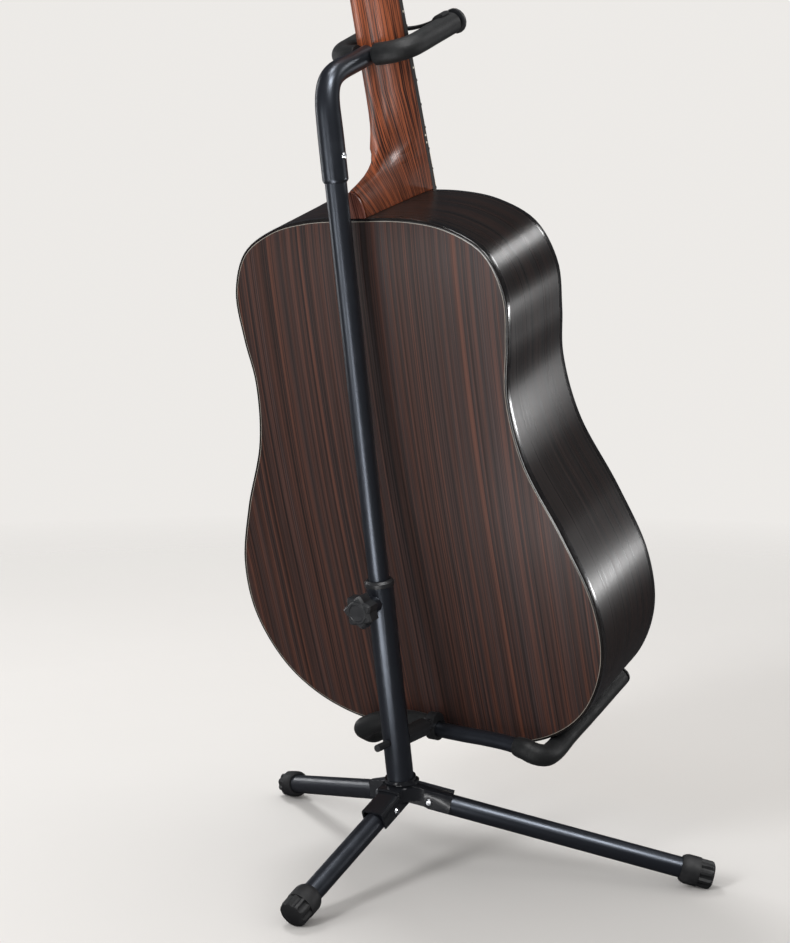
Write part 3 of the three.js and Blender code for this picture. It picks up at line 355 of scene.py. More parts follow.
def bare_wood():
    s = Shader("bare_wood")
    s.use_frame(GUITAR)
    grain = stretched_streaks(s, 500, 10, (1, 1, 1), 3)
    s.colour(s.ramp(grain, (0.3, (0.36, 0.20, 0.09)), (0.7, (0.55, 0.35, 0.18))))
    s.rough(grain, 0.6, 0.75)
    s.bump(grain, 0.0001, 0.4)
    return s


def gloss_plastic(name, dark, light, roughness, mottle=50):
    s = Shader(name, **{"Coat Weight": 0.3, "Coat Roughness": 0.1})
    s.colour(s.mix(s.spread(s.noise(mottle, 4, 0.6, distortion=0.8), 0.35, 0.65), dark, light))
    s.rough(s.noise(200, 2), roughness - 0.04, roughness + 0.04)
    s.bump(s.noise(900, 2), 0.00002, 0.4)
    return s


def polished_metal(name, dark, light, roughness):
    s = Shader(name, Metallic=1.0)
    s.colour(s.mix(s.noise(90, 3), dark, light))
    s.rough(s.noise(400, 3), roughness, roughness + 0.08)
    s.bump(s.noise(1800, 2), 0.00001, 0.4)
    return s


def wound_string():
    """Bronze wrap: fine turns that run round the string, with painted shade in the grooves between them."""
    s = Shader("wound_string", Metallic=1.0)
    s.use_frame(GUITAR)
    turns = s.node("TexWave", {"Vector": s.place, "Scale": 900.0}, bands_direction="Z").outputs[1]
    # Painted shade: the colour is darkest in the grooves between turns, where the bump sinks the surface.
    s.colour(s.ramp(turns, (0.2, (0.30, 0.17, 0.08)), (0.8, (0.74, 0.5, 0.27))))
    s.rough(turns, 0.26, 0.4, (0, 1))
    s.bump(turns, 0.0001, 0.6)
    return s


def studio_floor():
    """A pale floor that fades into the backdrop, and that polished parts mirror more darkly."""
    s = Shader("studio_floor", **{"Specular IOR Level": 0.1})
    light = s.node("LightPath").outputs
    s.place = s.node("NewGeometry").outputs["Position"]
    pale = s.mix(s.noise(3, 3), (0.695, 0.682, 0.666), (0.715, 0.702, 0.686))
    s.colour(s.mix(light["Is Glossy Ray"], pale, (0.05, 0.05, 0.055)))
    s.rough(s.noise(40, 2), 0.7, 0.8)
    radius = s.node("VectorMath", {0: s.place}, operation="LENGTH").outputs["Value"]
    clear = s.node("BsdfTransparent").outputs[0]
    blend = s.node("MixShader", {0: s.spread(radius, *FLOOR_FADE), 1: s.surface.outputs[0], 2: clear})
    s.tree.links.new(blend.outputs[0], s.tree.nodes["Material Output"].inputs["Surface"])
    return s


# The floor fades between these two distances from the middle, in metres.
FLOOR_FADE = (1.0, 2.6)

# The sound hole's height above the tail, and the rings round it: two radii in mm and a colour.
HOLE_AT = 361
DARK_LINE = (0.02, 0.015, 0.012)
PALE_LINE = (0.75, 0.7, 0.6)
RED_BAND = (0.10, 0.035, 0.02)
ROSETTE = (
    (53.0, 54.2, DARK_LINE), (54.2, 55.0, PALE_LINE), (55.0, 59.6, RED_BAND),
    (59.6, 60.4, PALE_LINE), (60.4, 61.6, DARK_LINE), (64.0, 64.8, DARK_LINE),
)

FINISH = {
    "powder_coat": powder_coat(),
    "gloss_black_steel": gloss_black(),
    "stand_plastic": moulded_plastic(),
    "zinc": zinc_plate(),
    "foot_rubber": foot_rubber(),
    "foam": foam_skin(),
    "soundboard_spruce": spruce_top(),
    "back_wood": dark_laminate(
        "back_laminate", (0.036, 0.018, 0.0145), (0.125, 0.043, 0.025), (0.042, 0.031, 0.032),
        (0.011, 0.0075, 0.007), 0.34, 0.3, (1, 0, 0), (0, 1, 1)),
    "side_wood": dark_laminate(
        "side_laminate", (0.016, 0.010, 0.008), (0.030, 0.013, 0.009), (0.018, 0.014, 0.013),
        (0.006, 0.0045, 0.004), 0.26, 0.45, (0, 1, 0), (1, 0, 1)),
    "inner_wood": bare_wood(),
    "neck_wood": neck_timber(
        "neck_timber", (0.42, 0.105, 0.036), (0.19, 0.050, 0.020), (0.018, 0.007, 0.005), 0.9),
    "heel_cap": neck_timber(
        "heel_cap_veneer", (0.36, 0.12, 0.08), (0.17, 0.045, 0.028), (0.04, 0.011, 0.008), 0.1),
    "fingerboard_wood": ebony(),
    "binding": gloss_plastic("black_binding", (0.007, 0.006, 0.006), (0.013, 0.011, 0.010), 0.22),
    "purfling": gloss_plastic("purfling_line", (0.24, 0.22, 0.19), (0.32, 0.29, 0.25), 0.35),
    "pickguard": gloss_plastic("pickguard_sheet", (0.010, 0.006, 0.005), (0.06, 0.02, 0.01), 0.16, 35),
    "ivory_plastic": gloss_plastic("ivory_plastic", (0.74, 0.69, 0.56), (0.82, 0.78, 0.66), 0.3),
    "chrome": polished_metal("chrome", (0.62, 0.62, 0.64), (0.8, 0.8, 0.81), 0.09),
    "fret_wire": polished_metal("fret_wire", (0.5, 0.5, 0.49), (0.7, 0.7, 0.68), 0.2),
    "plain_string": polished_metal("plain_string", (0.5, 0.5, 0.5), (0.72, 0.72, 0.72), 0.18),
    "wound_string": wound_string(),
}


# ---- Geometry helpers ----------------------------------------------------------------------------
# Edges that turn by more degrees than this are shaded sharp; points this near are one point.
SHARP = 38
SAME_POINT = 0.0001 * MM


def linked(item):
    bpy.context.scene.collection.objects.link(item)
    return item


def piece(name, mesh, finish, body, replaces=(), sharp=SHARP):
    """A finished piece: smooth-shaded, painted, riding on its body and standing for its CAD nodes."""
    mesh.shade_smooth()
    mesh.set_sharp_from_angle(angle=math.radians(sharp))
    mesh.materials.clear()
    mesh.materials.append(FINISH[finish].material)
    item = linked(bpy.data.objects.new(name, mesh))
    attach(item, body)
    if replaces:
        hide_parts(*replaces)
    return item


def mesh_from(name, vertices, faces):
    """A mesh with its normals outwards and its touching points joined."""
    mesh = bpy.data.meshes.new(name)
    mesh.from_pydata([tuple(v) for v in vertices], [], faces)
    work = bmesh.new()
    work.from_mesh(mesh)
    bmesh.ops.remove_doubles(work, verts=work.verts, dist=SAME_POINT)
    bmesh.ops.recalc_face_normals(work, faces=work.faces)
    work.to_mesh(mesh)
    work.free()
    return mesh


def catmull(points, per_span, closed=False):
    """Centripetal Catmull-Rom curve through points, the same as the one that the CAD uses."""
    points = [Vector(p) for p in points]
    n = len(points)
    spans = n if closed else n - 1
    result = []
    for k in range(spans):
        if closed:
            p0, p1, p2, p3 = (points[(k + d) % n] for d in (-1, 0, 1, 2))
        else:
            p1, p2 = points[k], points[k + 1]
            p0 = points[k - 1] if k else p1 * 2 - p2
            p3 = points[k + 2] if k + 2 < n else p2 * 2 - p1
        knots = [0.0]
        for a, b in ((p0, p1), (p1, p2), (p2, p3)):
            knots.append(knots[-1] + max(math.sqrt((b - a).length), 1e-6))
        t0, t1, t2, t3 = knots
        for j in range(per_span):
            t = t1 + (t2 - t1) * j / per_span
            a1 = p0 * ((t1 - t) / (t1 - t0)) + p1 * ((t - t0) / (t1 - t0))
            a2 = p1 * ((t2 - t) / (t2 - t1)) + p2 * ((t - t1) / (t2 - t1))
            a3 = p2 * ((t3 - t) / (t3 - t2)) + p3 * ((t - t2) / (t3 - t2))
            b1 = a1 * ((t2 - t) / (t2 - t0)) + a2 * ((t - t0) / (t2 - t0))
            b2 = a2 * ((t3 - t) / (t3 - t1)) + a3 * ((t - t1) / (t3 - t1))
            result.append(b1 * ((t2 - t) / (t2 - t1)) + b2 * ((t - t1) / (t2 - t1)))
    if not closed:
        result.append(points[-1].copy())
    return result


def bezier(p0, p1, p2, p3, steps):
    result = []
    for k in range(steps + 1):
        t = k / steps
        s = 1 - t
        result.append(p0 * s ** 3 + p1 * (3 * s * s * t) + p2 * (3 * s * t * t) + p3 * t ** 3)
    return result


def resampled(points, count, start=0.0, end=1.0):
    """Points at equal steps between two fractions of a polyline's length."""
    lengths = [0.0]
    for a, b in zip(points, points[1:]):
        lengths.append(lengths[-1] + (b - a).length)
    total = lengths[-1]
    result = []
    k = 0
    for j in range(count + 1):
        goal = total * (start + (end - start) * j / count)
        while k + 2 < len(lengths) and lengths[k + 1] < goal:
            k += 1
        t = (goal - lengths[k]) / max(lengths[k + 1] - lengths[k], 1e-9)
        result.append(points[k].lerp(points[k + 1], min(max(t, 0), 1)))
    return result


def frames_along(points):
    """A turning-free pair of side vectors at each point of a path."""
    tangents = []
    for k in range(len(points)):
        a = points[max(k - 1, 0)]
        b = points[min(k + 1, len(points) - 1)]
        tangents.append((b - a).normalized())
    side = tangents[0].orthogonal().normalized()
    result = []
    for t in tangents:
        side = (side - t * side.dot(t)).normalized()
        result.append((side, t.cross(side)))
    return result


def sweep(name, points, radius, sides, place=Matrix.Identity(4)):
    """A round body along a path. radius(k, fraction, angle) may vary; its ends are closed."""
    n = len(points)
    vertices = []
    faces = []
    for k, (point, (side, up)) in enumerate(zip(points, frames_along(points))):
        for j in range(sides):
            angle = 2 * math.pi * j / sides
            r = radius(k, k / (n - 1), angle)
            vertices.append(place @ (point + side * (r * math.cos(angle)) + up * (r * math.sin(angle))))
    for k in range(n - 1):
        for j in range(sides):
            a = k * sides + j
            b = k * sides + (j + 1) % sides
            faces.append((a, b, b + sides, a + sides))
    faces.append(tuple(range(sides))[::-1])
    faces.append(tuple((n - 1) * sides + j for j in range(sides)))
    return mesh_from(name, vertices, faces)


# Steps of a shaped end, and how far from it the path goes on, in lengths of that end.
END_STEPS = 8
END_ROOM = 1.05


def with_shaped_ends(points, radius, starts, ends):
    """A path and its radii with both ends eased in: (length, depth) of each end's curve."""
    def tail(end, direction, length, depth):
        turns = [math.pi / 2 * j / END_STEPS for j in range(END_STEPS + 1)]
        path = [end - direction * (length * (1 - math.sin(t))) for t in turns]
        return path, [radius - depth * (1 - math.cos(t)) for t in turns]

    first, first_radii = tail(points[0], (points[0] - points[1]).normalized(), *starts)
    last, last_radii = tail(points[-1], (points[-1] - points[-2]).normalized(), *ends)
    middle = [
        p for p in points
        if (p - points[0]).length > starts[0] * END_ROOM and (p - points[-1]).length > ends[0] * END_ROOM
    ]
    path = first[::-1] + middle + last
    return path, first_radii[::-1] + [radius] * len(middle) + last_radii


# How far apart points of the CAD's mesh may be to be one, and edges may turn to be flat.
WELD = 0.002 * MM
FLAT_ANGLE = math.radians(0.6)
BEVEL_ANGLE = math.radians(42)
BEVEL_STEPS = 2


def skin(node, finish, bevel, sharp=SHARP):
    """A CAD node as a finished piece: same shape, joined faces, fine rounded edges (bevel, in mm)."""
    source = frame["nodes"][node]
    mesh = source.data.copy()
    mesh.name = node + "_finish"
    work = bmesh.new()
    work.from_mesh(mesh)
    bmesh.ops.remove_doubles(work, verts=work.verts, dist=WELD)
    bmesh.ops.dissolve_degenerate(work, dist=WELD, edges=work.edges)
    bmesh.ops.dissolve_limit(work, angle_limit=FLAT_ANGLE, verts=work.verts, edges=work.edges)
    bmesh.ops.recalc_face_normals(work, faces=work.faces)
    work.to_mesh(mesh)
    work.free()
    normals = mesh.attributes.get("custom_normal")
    if normals is not None:
        mesh.attributes.remove(normals)
    item = piece(node + "_finish", mesh, finish, source["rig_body"], (node,), sharp)
    if bevel:
        edge = item.modifiers.new("edge", "BEVEL")
        edge.width = bevel * MM
        edge.segments = BEVEL_STEPS
        edge.limit_method = "ANGLE"
        edge.angle_limit = BEVEL_ANGLE
        edge.harden_normals = True
        edge.use_clamp_overlap = True


# ---- Stand ---------------------------------------------------------------------------------------
# The middle line of the cradle's tube: x, y and z in mm, in the stand's frame.
CRADLE_POINTS = (
    (-117, -205, 167.5), (-117, -180, 158.4), (-117, -140, 143.8), (-117, -100, 129.4), (-118, -74, 120.5),
    (-118, -60, 119.5), (-113, -51, 122), (-102, -49, 125.5), (-85, -50, 127.5), (-60, -51.5, 128),
    (-30, -53, 127.5), (0, -54.5, 128), (20, -54.5, 131), (45, -52, 130), (62, -50, 126),
    (74, -50, 121), (83, -53, 116), (86, -61, 111.8), (84.5, -72, 107.2), (82, -100, 115.9),
    (82, -140, 130.3), (82, -180, 144.9), (82, -205, 154),
)
CRADLE_SMOOTH = 10
TUBE_SIDES = 36
CRADLE_TUBE_R = 7.25 * MM
CRADLE_FOAM_R = 10 * MM

# The line without its tips is counted in equal steps, and the foams end on such steps.
CRADLE_TIP = 0.006
CRADLE_STEPS = 46
LEFT_FOAM_STEPS = 16
RIGHT_FOAM_FROM = 25

# Length and depth of the curve at a foam sleeve's end, and the lumps of its surface.
ROUND = (2.4 * MM, 2.4 * MM)
SNUG = (1.0 * MM, 0.7 * MM)
EASED = (13 * MM, 1.7 * MM)
FOAM_LUMP_DEPTH = 0.25 * MM
FOAM_LUMPS_ALONG = 42
FOAM_LUMPS_ROUND = 0.5


def foam_sleeve(name, points, radius, body, node, seed, starts, ends):
    """A foam sleeve: shaped ends, and a little uneven, as hand-fitted foam is."""
    path, radii = with_shaped_ends(points, radius, starts, ends)

    def uneven(k, _, angle):
        around = Vector((math.cos(angle), math.sin(angle), 0)) * FOAM_LUMPS_ROUND
        place = path[k] * FOAM_LUMPS_ALONG + around + Vector((0, 0, seed))
        return radii[k] + FOAM_LUMP_DEPTH * noise.noise(place)

    item = piece(name, sweep(name, path, uneven, TUBE_SIDES), "foam", body, (node,), 60)


def cradle():
    line = [STAND @ p for p in catmull([Vector(p) * MM for p in CRADLE_POINTS], CRADLE_SMOOTH)]

    def stretch(first, last, count):
        """The line between two of its steps, as this many equal pieces."""
        start, end = (CRADLE_TIP + (1 - 2 * CRADLE_TIP) * step / CRADLE_STEPS for step in (first, last))
        return resampled(line, count, start, end)

    tube = sweep("cradle_bar", stretch(0, CRADLE_STEPS, 150), lambda *_: CRADLE_TUBE_R, TUBE_SIDES)
    piece("cradle_bar", tube, "powder_coat", "stand", ("cradle_tube",))
    sleeves = (
        ("left", stretch(0, LEFT_FOAM_STEPS, 90), 1.0, EASED),
        ("right", stretch(RIGHT_FOAM_FROM, CRADLE_STEPS, 110), 5.0, ROUND),
    )
    for side, path, seed, ends in sleeves:
        name = f"cradle_sleeve_{side}"
        foam_sleeve(name, path, CRADLE_FOAM_R, "stand", f"cradle_foam_{side}", seed, ROUND, ends)


# The elbow: heights up the post in mm of its straight sleeve and of the bend's first handles, and how
# far before the yoke its other handles lie.
SLEEVE_AT = (560, 575, 590, 604)
BEND_AT = (618, 653)
BEND_BEFORE = (46, 12)
ELBOW_R = 11.2 * MM
ELBOW_TIP_R = 8.7 * MM
ELBOW_TAPER = (0.2, 0.95)
ELBOW_LIP = (1.2 * MM, 0.4 * MM)
SOCKET_R = 9.85 * MM
SOCKET_DEEP = 20 * MM
CASTING_SIDES = 48
YOKE_RISE = math.radians(24)


def smoothstep(t, low, high):
    t = min(max((t - low) / (high - low), 0), 1)
    return t * t * (3 - 2 * t)


def elbow():
    """The coated casting that sits on the mast and tapers into the yoke."""
    base = YOKE.translation
    forward = Vector((0, -math.cos(YOKE_RISE), math.sin(YOKE_RISE)))
    sleeve = [HUB + POST_Z * (height * MM) for height in SLEEVE_AT]
    handles = [HUB + POST_Z * (height * MM) for height in BEND_AT]
    handles += [base - forward * (before * MM) for before in BEND_BEFORE]
    path = resampled([*sleeve, *bezier(*handles, 60), base], 120)

    def taper(k, t, _):
        lip = ELBOW_LIP[k] if k < len(ELBOW_LIP) else 0
        return ELBOW_R + (ELBOW_TIP_R - ELBOW_R) * smoothstep(t, *ELBOW_TAPER) - lip

    mesh = sweep("neck_elbow_casting", path, taper, CASTING_SIDES)
    work = bmesh.new()
    work.from_mesh(mesh)
    caps = [face for face in work.faces if len(face.verts) > 4]
    mouth = min(caps, key=lambda face: face.calc_center_median().dot(POST_Z))
    bmesh.ops.inset_individual(work, faces=[mouth], thickness=ELBOW_R - ELBOW_LIP[0] - SOCKET_R, depth=0)
    bmesh.ops.translate(work, verts=list(mouth.verts), vec=POST_Z * SOCKET_DEEP)
    work.to_mesh(mesh)
    work.free()
    piece("neck_elbow_casting", mesh, "powder_coat", "mast", ("neck_elbow",))


# The yoke's rod: half its width, the reach of its arms, its corners; tips are fractions of its length.
YOKE_HALF = 37.5 * MM
YOKE_REACH = 86 * MM
YOKE_BEND = 24 * MM
YOKE_HANDLE = 9 * MM
YOKE_FLAT = 12 * MM
YOKE_ROD_R = 5 * MM
YOKE_ROD_SIDES = 32
YOKE_ROD_TIP = 0.008
YOKE_FOAM_R = 9.5 * MM
YOKE_FOAM_TIP = 0.014
YOKE_FOAM_GAP = 9.8 * MM


def yoke_line():
    """The rod's middle line, from the tip of the arm at +x to that of the other."""
    def point(x, y):
        return YOKE @ Vector((x, y, 0))

    half = YOKE_HALF
    corner = [(half, -YOKE_BEND), (half, -YOKE_HANDLE), (half - YOKE_HANDLE, 0), (YOKE_FLAT, 0)]
    right = bezier(*[point(x, y) for x, y in corner], 24)
    left = bezier(*[point(-x, y) for x, y in reversed(corner)], 24)
    return [point(half, -YOKE_REACH), *right, *left, point(-half, -YOKE_REACH)]


def yoke():
    line = yoke_line()
    rod = resampled(line, 120, YOKE_ROD_TIP, 1 - YOKE_ROD_TIP)
    mesh = sweep("yoke_bar", rod, lambda *_: YOKE_ROD_R, YOKE_ROD_SIDES)
    piece("yoke_bar", mesh, "powder_coat", "mast", ("yoke_rod",))
    gap = YOKE_FOAM_GAP / sum((b - a).length for a, b in zip(line, line[1:]))
    arms = (
        ("right", YOKE_FOAM_TIP, 0.5 - gap, ROUND, SNUG),
        ("left", 0.5 + gap, 1 - YOKE_FOAM_TIP, SNUG, ROUND),
    )
    for side, start, end, starts, ends in arms:
        path = resampled(line, 90, start, end)
        foam_sleeve(f"yoke_sleeve_{side}", path, YOKE_FOAM_R, "mast", f"yoke_foam_{side}", 9.0, starts, ends)


def stand():
    for node in ("lower_post", "mast_tube", "leg_front_left", "leg_front_right", "leg_rear"):
        skin(node, "powder_coat", 0.3)
    skin("hub_bracket", "gloss_black_steel", 0.6, 30)
    for node in ("post_collar", "clamp_knob", "cradle_stem", "cradle_bolt", "mast_guide"):
        skin(node, "stand_plastic", 0.5)
    for node in ("clamp_screw", "elbow_screw", "rivet_front_left", "rivet_front_right", "rivet_rear"):
        skin(node, "zinc", 0.3)
    for node in ("foot_front_left", "foot_front_right", "foot_rear"):
        skin(node, "foot_rubber", 0.4, 30)
    for node in ("cradle_cap_left", "cradle_cap_right", "yoke_cap_left", "yoke_cap_right"):
        skin(node, "stand_plastic", 0.6)
    cradle()
    elbow()
    yoke()
    skin("neck_strap", "foot_rubber", 0.6)


# ---- Guitar body ---------------------------------------------------------------------------------
# All in mm, in the guitar's frame. The outline: height above the tail, and half the width there.
HALF_OUTLINE = (
    (0, 0), (1, 40), (9, 98), (28, 140), (58, 171), (109, 193), (165, 193), (229, 172), (297, 143),
    (356, 135), (399, 140.5), (442, 142.5), (478, 127), (498, 94), (506.5, 55), (508, 0),
)
BODY_LENGTH = 508
TAIL_DEPTH = 111.6
NECK_END_DEPTH = 88.6
BACK_TAPER_FROM = 200
BACK_TAPER_POWER = 1.9
OUTLINE_SMOOTH = 24
OUTLINE_STEPS = 240


def outline_points():
    """The body's outline, made exactly symmetrical."""
    right = [Vector((w, u, 0)) for u, w in HALF_OUTLINE]
    left = [Vector((-w, u, 0)) for u, w in HALF_OUTLINE[1:-1]][::-1]
    loop = catmull(right + left, OUTLINE_SMOOTH, True)
    loop.append(loop[0].copy())
    points = resampled(loop, OUTLINE_STEPS)[:-1]
    mirrored = [points[-k] for k in range(OUTLINE_STEPS)]
    return [Vector(((p.x - m.x) / 2, (p.y + m.y) / 2)) for p, m in zip(points, mirrored)]


OUTLINE = outline_points()


def inset_outline(inset):
    result = []
    for k, p in enumerate(OUTLINE):
        along = (OUTLINE[(k + 1) % OUTLINE_STEPS] - OUTLINE[k - 1]).normalized()
        result.append(Vector((p.x - along.y * inset, p.y + along.x * inset)))
    return result


def back_at(u):
    """Depth of the back at a height above the tail."""
    t = max(0.0, (u - BACK_TAPER_FROM) / (BODY_LENGTH - BACK_TAPER_FROM))
    return TAIL_DEPTH - (TAIL_DEPTH - NECK_END_DEPTH) * t ** BACK_TAPER_POWER


def guitar_point(x, y, u):
    """A place across, deep and up the guitar, in mm, as a place in the scene."""
    return GUITAR @ Vector((x * MM, y * MM, u * MM))


def rim_band(name, section, finish, replaces=()):
    """A closed band round the body. section(u) lists (inset, depth) corners of its cross-section."""
    loops = [inset_outline(inset) for inset, _ in section(0)]
    corners = len(loops)
    vertices = []
    faces = []
    for k in range(OUTLINE_STEPS):
        for j, loop in enumerate(loops):
            x, u = loop[k]
            vertices.append(guitar_point(x, section(u)[j][1], u))
    for k in range(OUTLINE_STEPS):
        here = k * corners
        there = (k + 1) % OUTLINE_STEPS * corners
        for j in range(corners):
            after = (j + 1) % corners
            faces.append((here + j, here + after, there + after, there + j))
    piece(name, mesh_from(name, vertices, faces), finish, "guitar", replaces, 50)


# A plate is made of rings, which shrink to a spine between two heights.
PLATE_RINGS = 14
SPINE = (70, 450)


def plate(name, inset, inner, outer, finish, replaces):
    """A thin plate that fills the outline; inner and outer(u, t) give the depths of its two faces.

    t runs from 0 at the rim to 1 on the spine, the middle line that the rings shrink to."""
    rim = inset_outline(inset)
    vertices = []
    faces = []
    for face in (outer, inner):
        for r in range(PLATE_RINGS + 1):
            t = r / PLATE_RINGS
            for x, u in rim:
                spine = min(max(u, SPINE[0]), SPINE[1])
                px, pu = x * (1 - t), u + (spine - u) * t
                vertices.append(guitar_point(px, face(pu, t), pu))
    n = OUTLINE_STEPS
    half = (PLATE_RINGS + 1) * n
    for side in (0, half):
        for start in range(side, side + PLATE_RINGS * n, n):
            for k in range(n):
                a = start + k
                b = start + (k + 1) % n
                faces.append((a, b, b + n, a + n))
    for k in range(n):
        faces.append((k, (k + 1) % n, half + (k + 1) % n, half + k))
    piece(name, mesh_from(name, vertices, faces), finish, "guitar", replaces, 45)


BINDING_DEEP = 6
BINDING_WIDE = 2.4
EDGE_ROUND = 1.1
SIDE_FACES = (0.1, 2.4)
SIDE_FROM_BINDING = 0.06
PANEL_INSET = BINDING_WIDE + 0.52
PANEL_THICK = 3
PANEL_DOME = 1.6
DOME_WIDE = 1.25
INNER_DOME = 0.9

# The purfling lines inside the bindings: insets of their edges, and how far those stand proud.
BACK_LINE = (BINDING_WIDE + 0.02, BINDING_WIDE + 0.5)
BACK_LINE_PROUD = (0.02, 0.04)
BACK_LINE_DEEP = 2
TOP_LINE = (BINDING_WIDE + 0.3, BINDING_WIDE + 1.6)
TOP_LINE_DEPTHS = (1.5, -0.06)

# Corners of a binding strip, (inset, depth) from its own face; the outer edge is rounded.
BINDING_CORNERS = (
    (EDGE_ROUND, 0), (BINDING_WIDE, 0), (BINDING_WIDE, BINDING_DEEP), (0, BINDING_DEEP),
    (0, EDGE_ROUND), (0.12, 0.62), (0.5, 0.2),
)


def corners_of(insets, depths):
    """The four corners of a rectangular strip."""
    return [(insets[0], depths[0]), (insets[1], depths[0]), (insets[1], depths[1]), (insets[0], depths[1])]


def body():
    def dome(t):
        return PANEL_DOME * (1 - (1 - min(t * DOME_WIDE, 1)) ** 2)

    def back_face(u, t):
        return back_at(u) + dome(t)

    def back_inside(u, t):
        return back_at(u) - PANEL_THICK + dome(t) * INNER_DOME

    def back_binding(u):
        return [(inset, back_at(u) - depth) for inset, depth in BINDING_CORNERS]

    def back_purfling(u):
        back = back_at(u)
        proud = [(inset, back + out) for inset, out in zip(BACK_LINE, BACK_LINE_PROUD)]
        return proud + [(inset, back - BACK_LINE_DEEP) for inset in BACK_LINE[::-1]]

    def top_binding(_):
        return BINDING_CORNERS[::-1]

    def top_purfling(_):
        return corners_of(TOP_LINE, TOP_LINE_DEPTHS)

    def side_section(u):
        edge = BINDING_DEEP + SIDE_FROM_BINDING
        return corners_of(SIDE_FACES, (edge, back_at(u) - edge))

    plate("back_panel", PANEL_INSET, back_inside, back_face, "back_wood", ("back_plate",))
    rim_band("back_binding_strip", back_binding, "binding", ("back_binding",))
    rim_band("back_purfling", back_purfling, "purfling")
    rim_band("top_binding_strip", top_binding, "binding", ("top_binding",))
    rim_band("top_purfling", top_purfling, "purfling")
    rim_band("side_bands", side_section, "side_wood", ("sides",))
    skin("soundboard", "soundboard_spruce", 0)
    for node in ("neck_block", "tail_block", "top_braces", "back_braces"):
        skin(node, "inner_wood", 0.5)
    skin("pickguard", "pickguard", 0.3)
    skin("bridge", "fingerboard_wood", 0.6)
    for node in ("saddle", "nut", "end_pin"):
        skin(node, "ivory_plastic", 0.4)


# ---- Neck ----------------------------------------------------------------------------------------
SCALE_LENGTH = 645
NUT_AT = BODY_LENGTH + SCALE_LENGTH * (1 - 2 ** (-14 / 12))
SADDLE_AT = NUT_AT - SCALE_LENGTH
FRETS = 20
BOARD_FACE = -6.3
HALF_WIDTH_JOIN = 26.8
HALF_WIDTH_NUT = 21.3
HEAD_AT = NUT_AT + 6
HEAD_TILT = math.radians(14)

# Frets stop short of the board's edge; the crown is (along the neck, depth) from the board's face.
FRET_SHORT = 1.1
FRET_CROWN = (
    (-1.2, 0.2), (-1.2, -0.25), (-0.75, -0.65), (0, -0.8), (0.75, -0.65), (1.2, -0.25), (1.2, 0.2),
)

# Frets that have a mark, and the marks' places and sizes (radius, thickness).
SINGLE_DOTS = (3, 5, 7, 9, 15, 17, 19)
DOUBLE_DOT = 12
SIDE_DOT_STEP = 3.2
SIDE_DOT_DEPTH = -3.4
SIDE_DOT_SIZE = (1.0, 0.3)
FACE_DOT_SPREAD = 2.6
FACE_DOT_SIZE = (3.0, 0.4)
FACE_DOT_SUNK = 0.05
DOT_SIDES = 20

# Strings, the thickest first: gauges, the spreads at both ends, and the depths that they run at.
STRING_GAUGES = (1.35, 1.07, 0.81, 0.61, 0.41, 0.31)
WOUND_STRINGS = 4
BRIDGE_SPREAD = 54
NUT_SPREAD = 35
PIN_BELOW_SADDLE = 12
PIN_DEPTH = -9.2
SADDLE_DEPTH = -12.0
SADDLE_TOP = (-0.4, 0.6)
NUT_DEPTH = -8.9
NUT_TOP = (0.8, 4.8)
STRING_SIDES = 10
WINDING_SIDES = 8

# Tuning posts: heights up the head, distance of the lowest from the middle line, and the string on it.
TUNER_AT = (46, 86, 126)
POST_OUT = 18
POST_SPLAY = 2
POST_MEETS = 0.4
WINDING_DEPTH = -8.4
WINDING_R = 2.9
WINDING_TURNS = 4
WINDING_STEPS = 14


def half_width(u):
    """Half the fingerboard's width at a height above the tail."""
    t = (u - BODY_LENGTH) / (NUT_AT - BODY_LENGTH)
    return HALF_WIDTH_JOIN + (HALF_WIDTH_NUT - HALF_WIDTH_JOIN) * t


def fret_at(n):
    return NUT_AT - SCALE_LENGTH * (1 - 2 ** (-n / 12))


def discs(name, places, size, across, finish):
    """Small round inlays, all one piece: size is (radius, thickness), across where they face."""
    radius, thick = (measure * MM for measure in size)
    turn = across.to_track_quat("Z", "Y").to_matrix().to_4x4()
    mesh = bpy.data.meshes.new(name)
    work = bmesh.new()
    for place in places:
        made = bmesh.ops.create_cone(
            work, cap_ends=True, segments=DOT_SIDES, radius1=radius, radius2=radius, depth=thick)
        matrix = GUITAR @ Matrix.Translation(Vector(place) * MM) @ turn
        bmesh.ops.transform(work, matrix=matrix, verts=made["verts"])
    work.to_mesh(mesh)
    work.free()
    piece(name, mesh, finish, "guitar")


def frets():
    """Fret wires with a crowned top, a little proud of the board."""
    vertices = []
    faces = []
    m = len(FRET_CROWN)
    for n in range(1, FRETS + 1):
        u = fret_at(n)
        half = half_width(u) - FRET_SHORT
        near = len(vertices)
        far = near + m
        for x in (-half, half):
            vertices += [guitar_point(x, BOARD_FACE + y, u + along) for along, y in FRET_CROWN]
        for j in range(m):
            after = (j + 1) % m
            faces.append((near + j, near + after, far + after, far + j))
        faces.append(tuple(range(near, far))[::-1])
        faces.append(tuple(range(far, far + m)))
    piece("fret_wires", mesh_from("fret_wires", vertices, faces), "fret_wire", "guitar", (), 60)


def winding(head, x, z, gauge):
    """Turns of string round a tuning post, side by side."""
    r = WINDING_R + gauge / 2
    line = []
    for j in range(WINDING_TURNS * WINDING_STEPS + 1):
        turns = j / WINDING_STEPS
        a = 2 * math.pi * turns
        place = Vector((x + r * math.cos(a), WINDING_DEPTH + gauge * turns, z + r * math.sin(a)))
        line.append(head @ (place * MM))
    return sweep("winding", line, lambda *_: gauge * MM / 2, WINDING_SIDES, GUITAR)


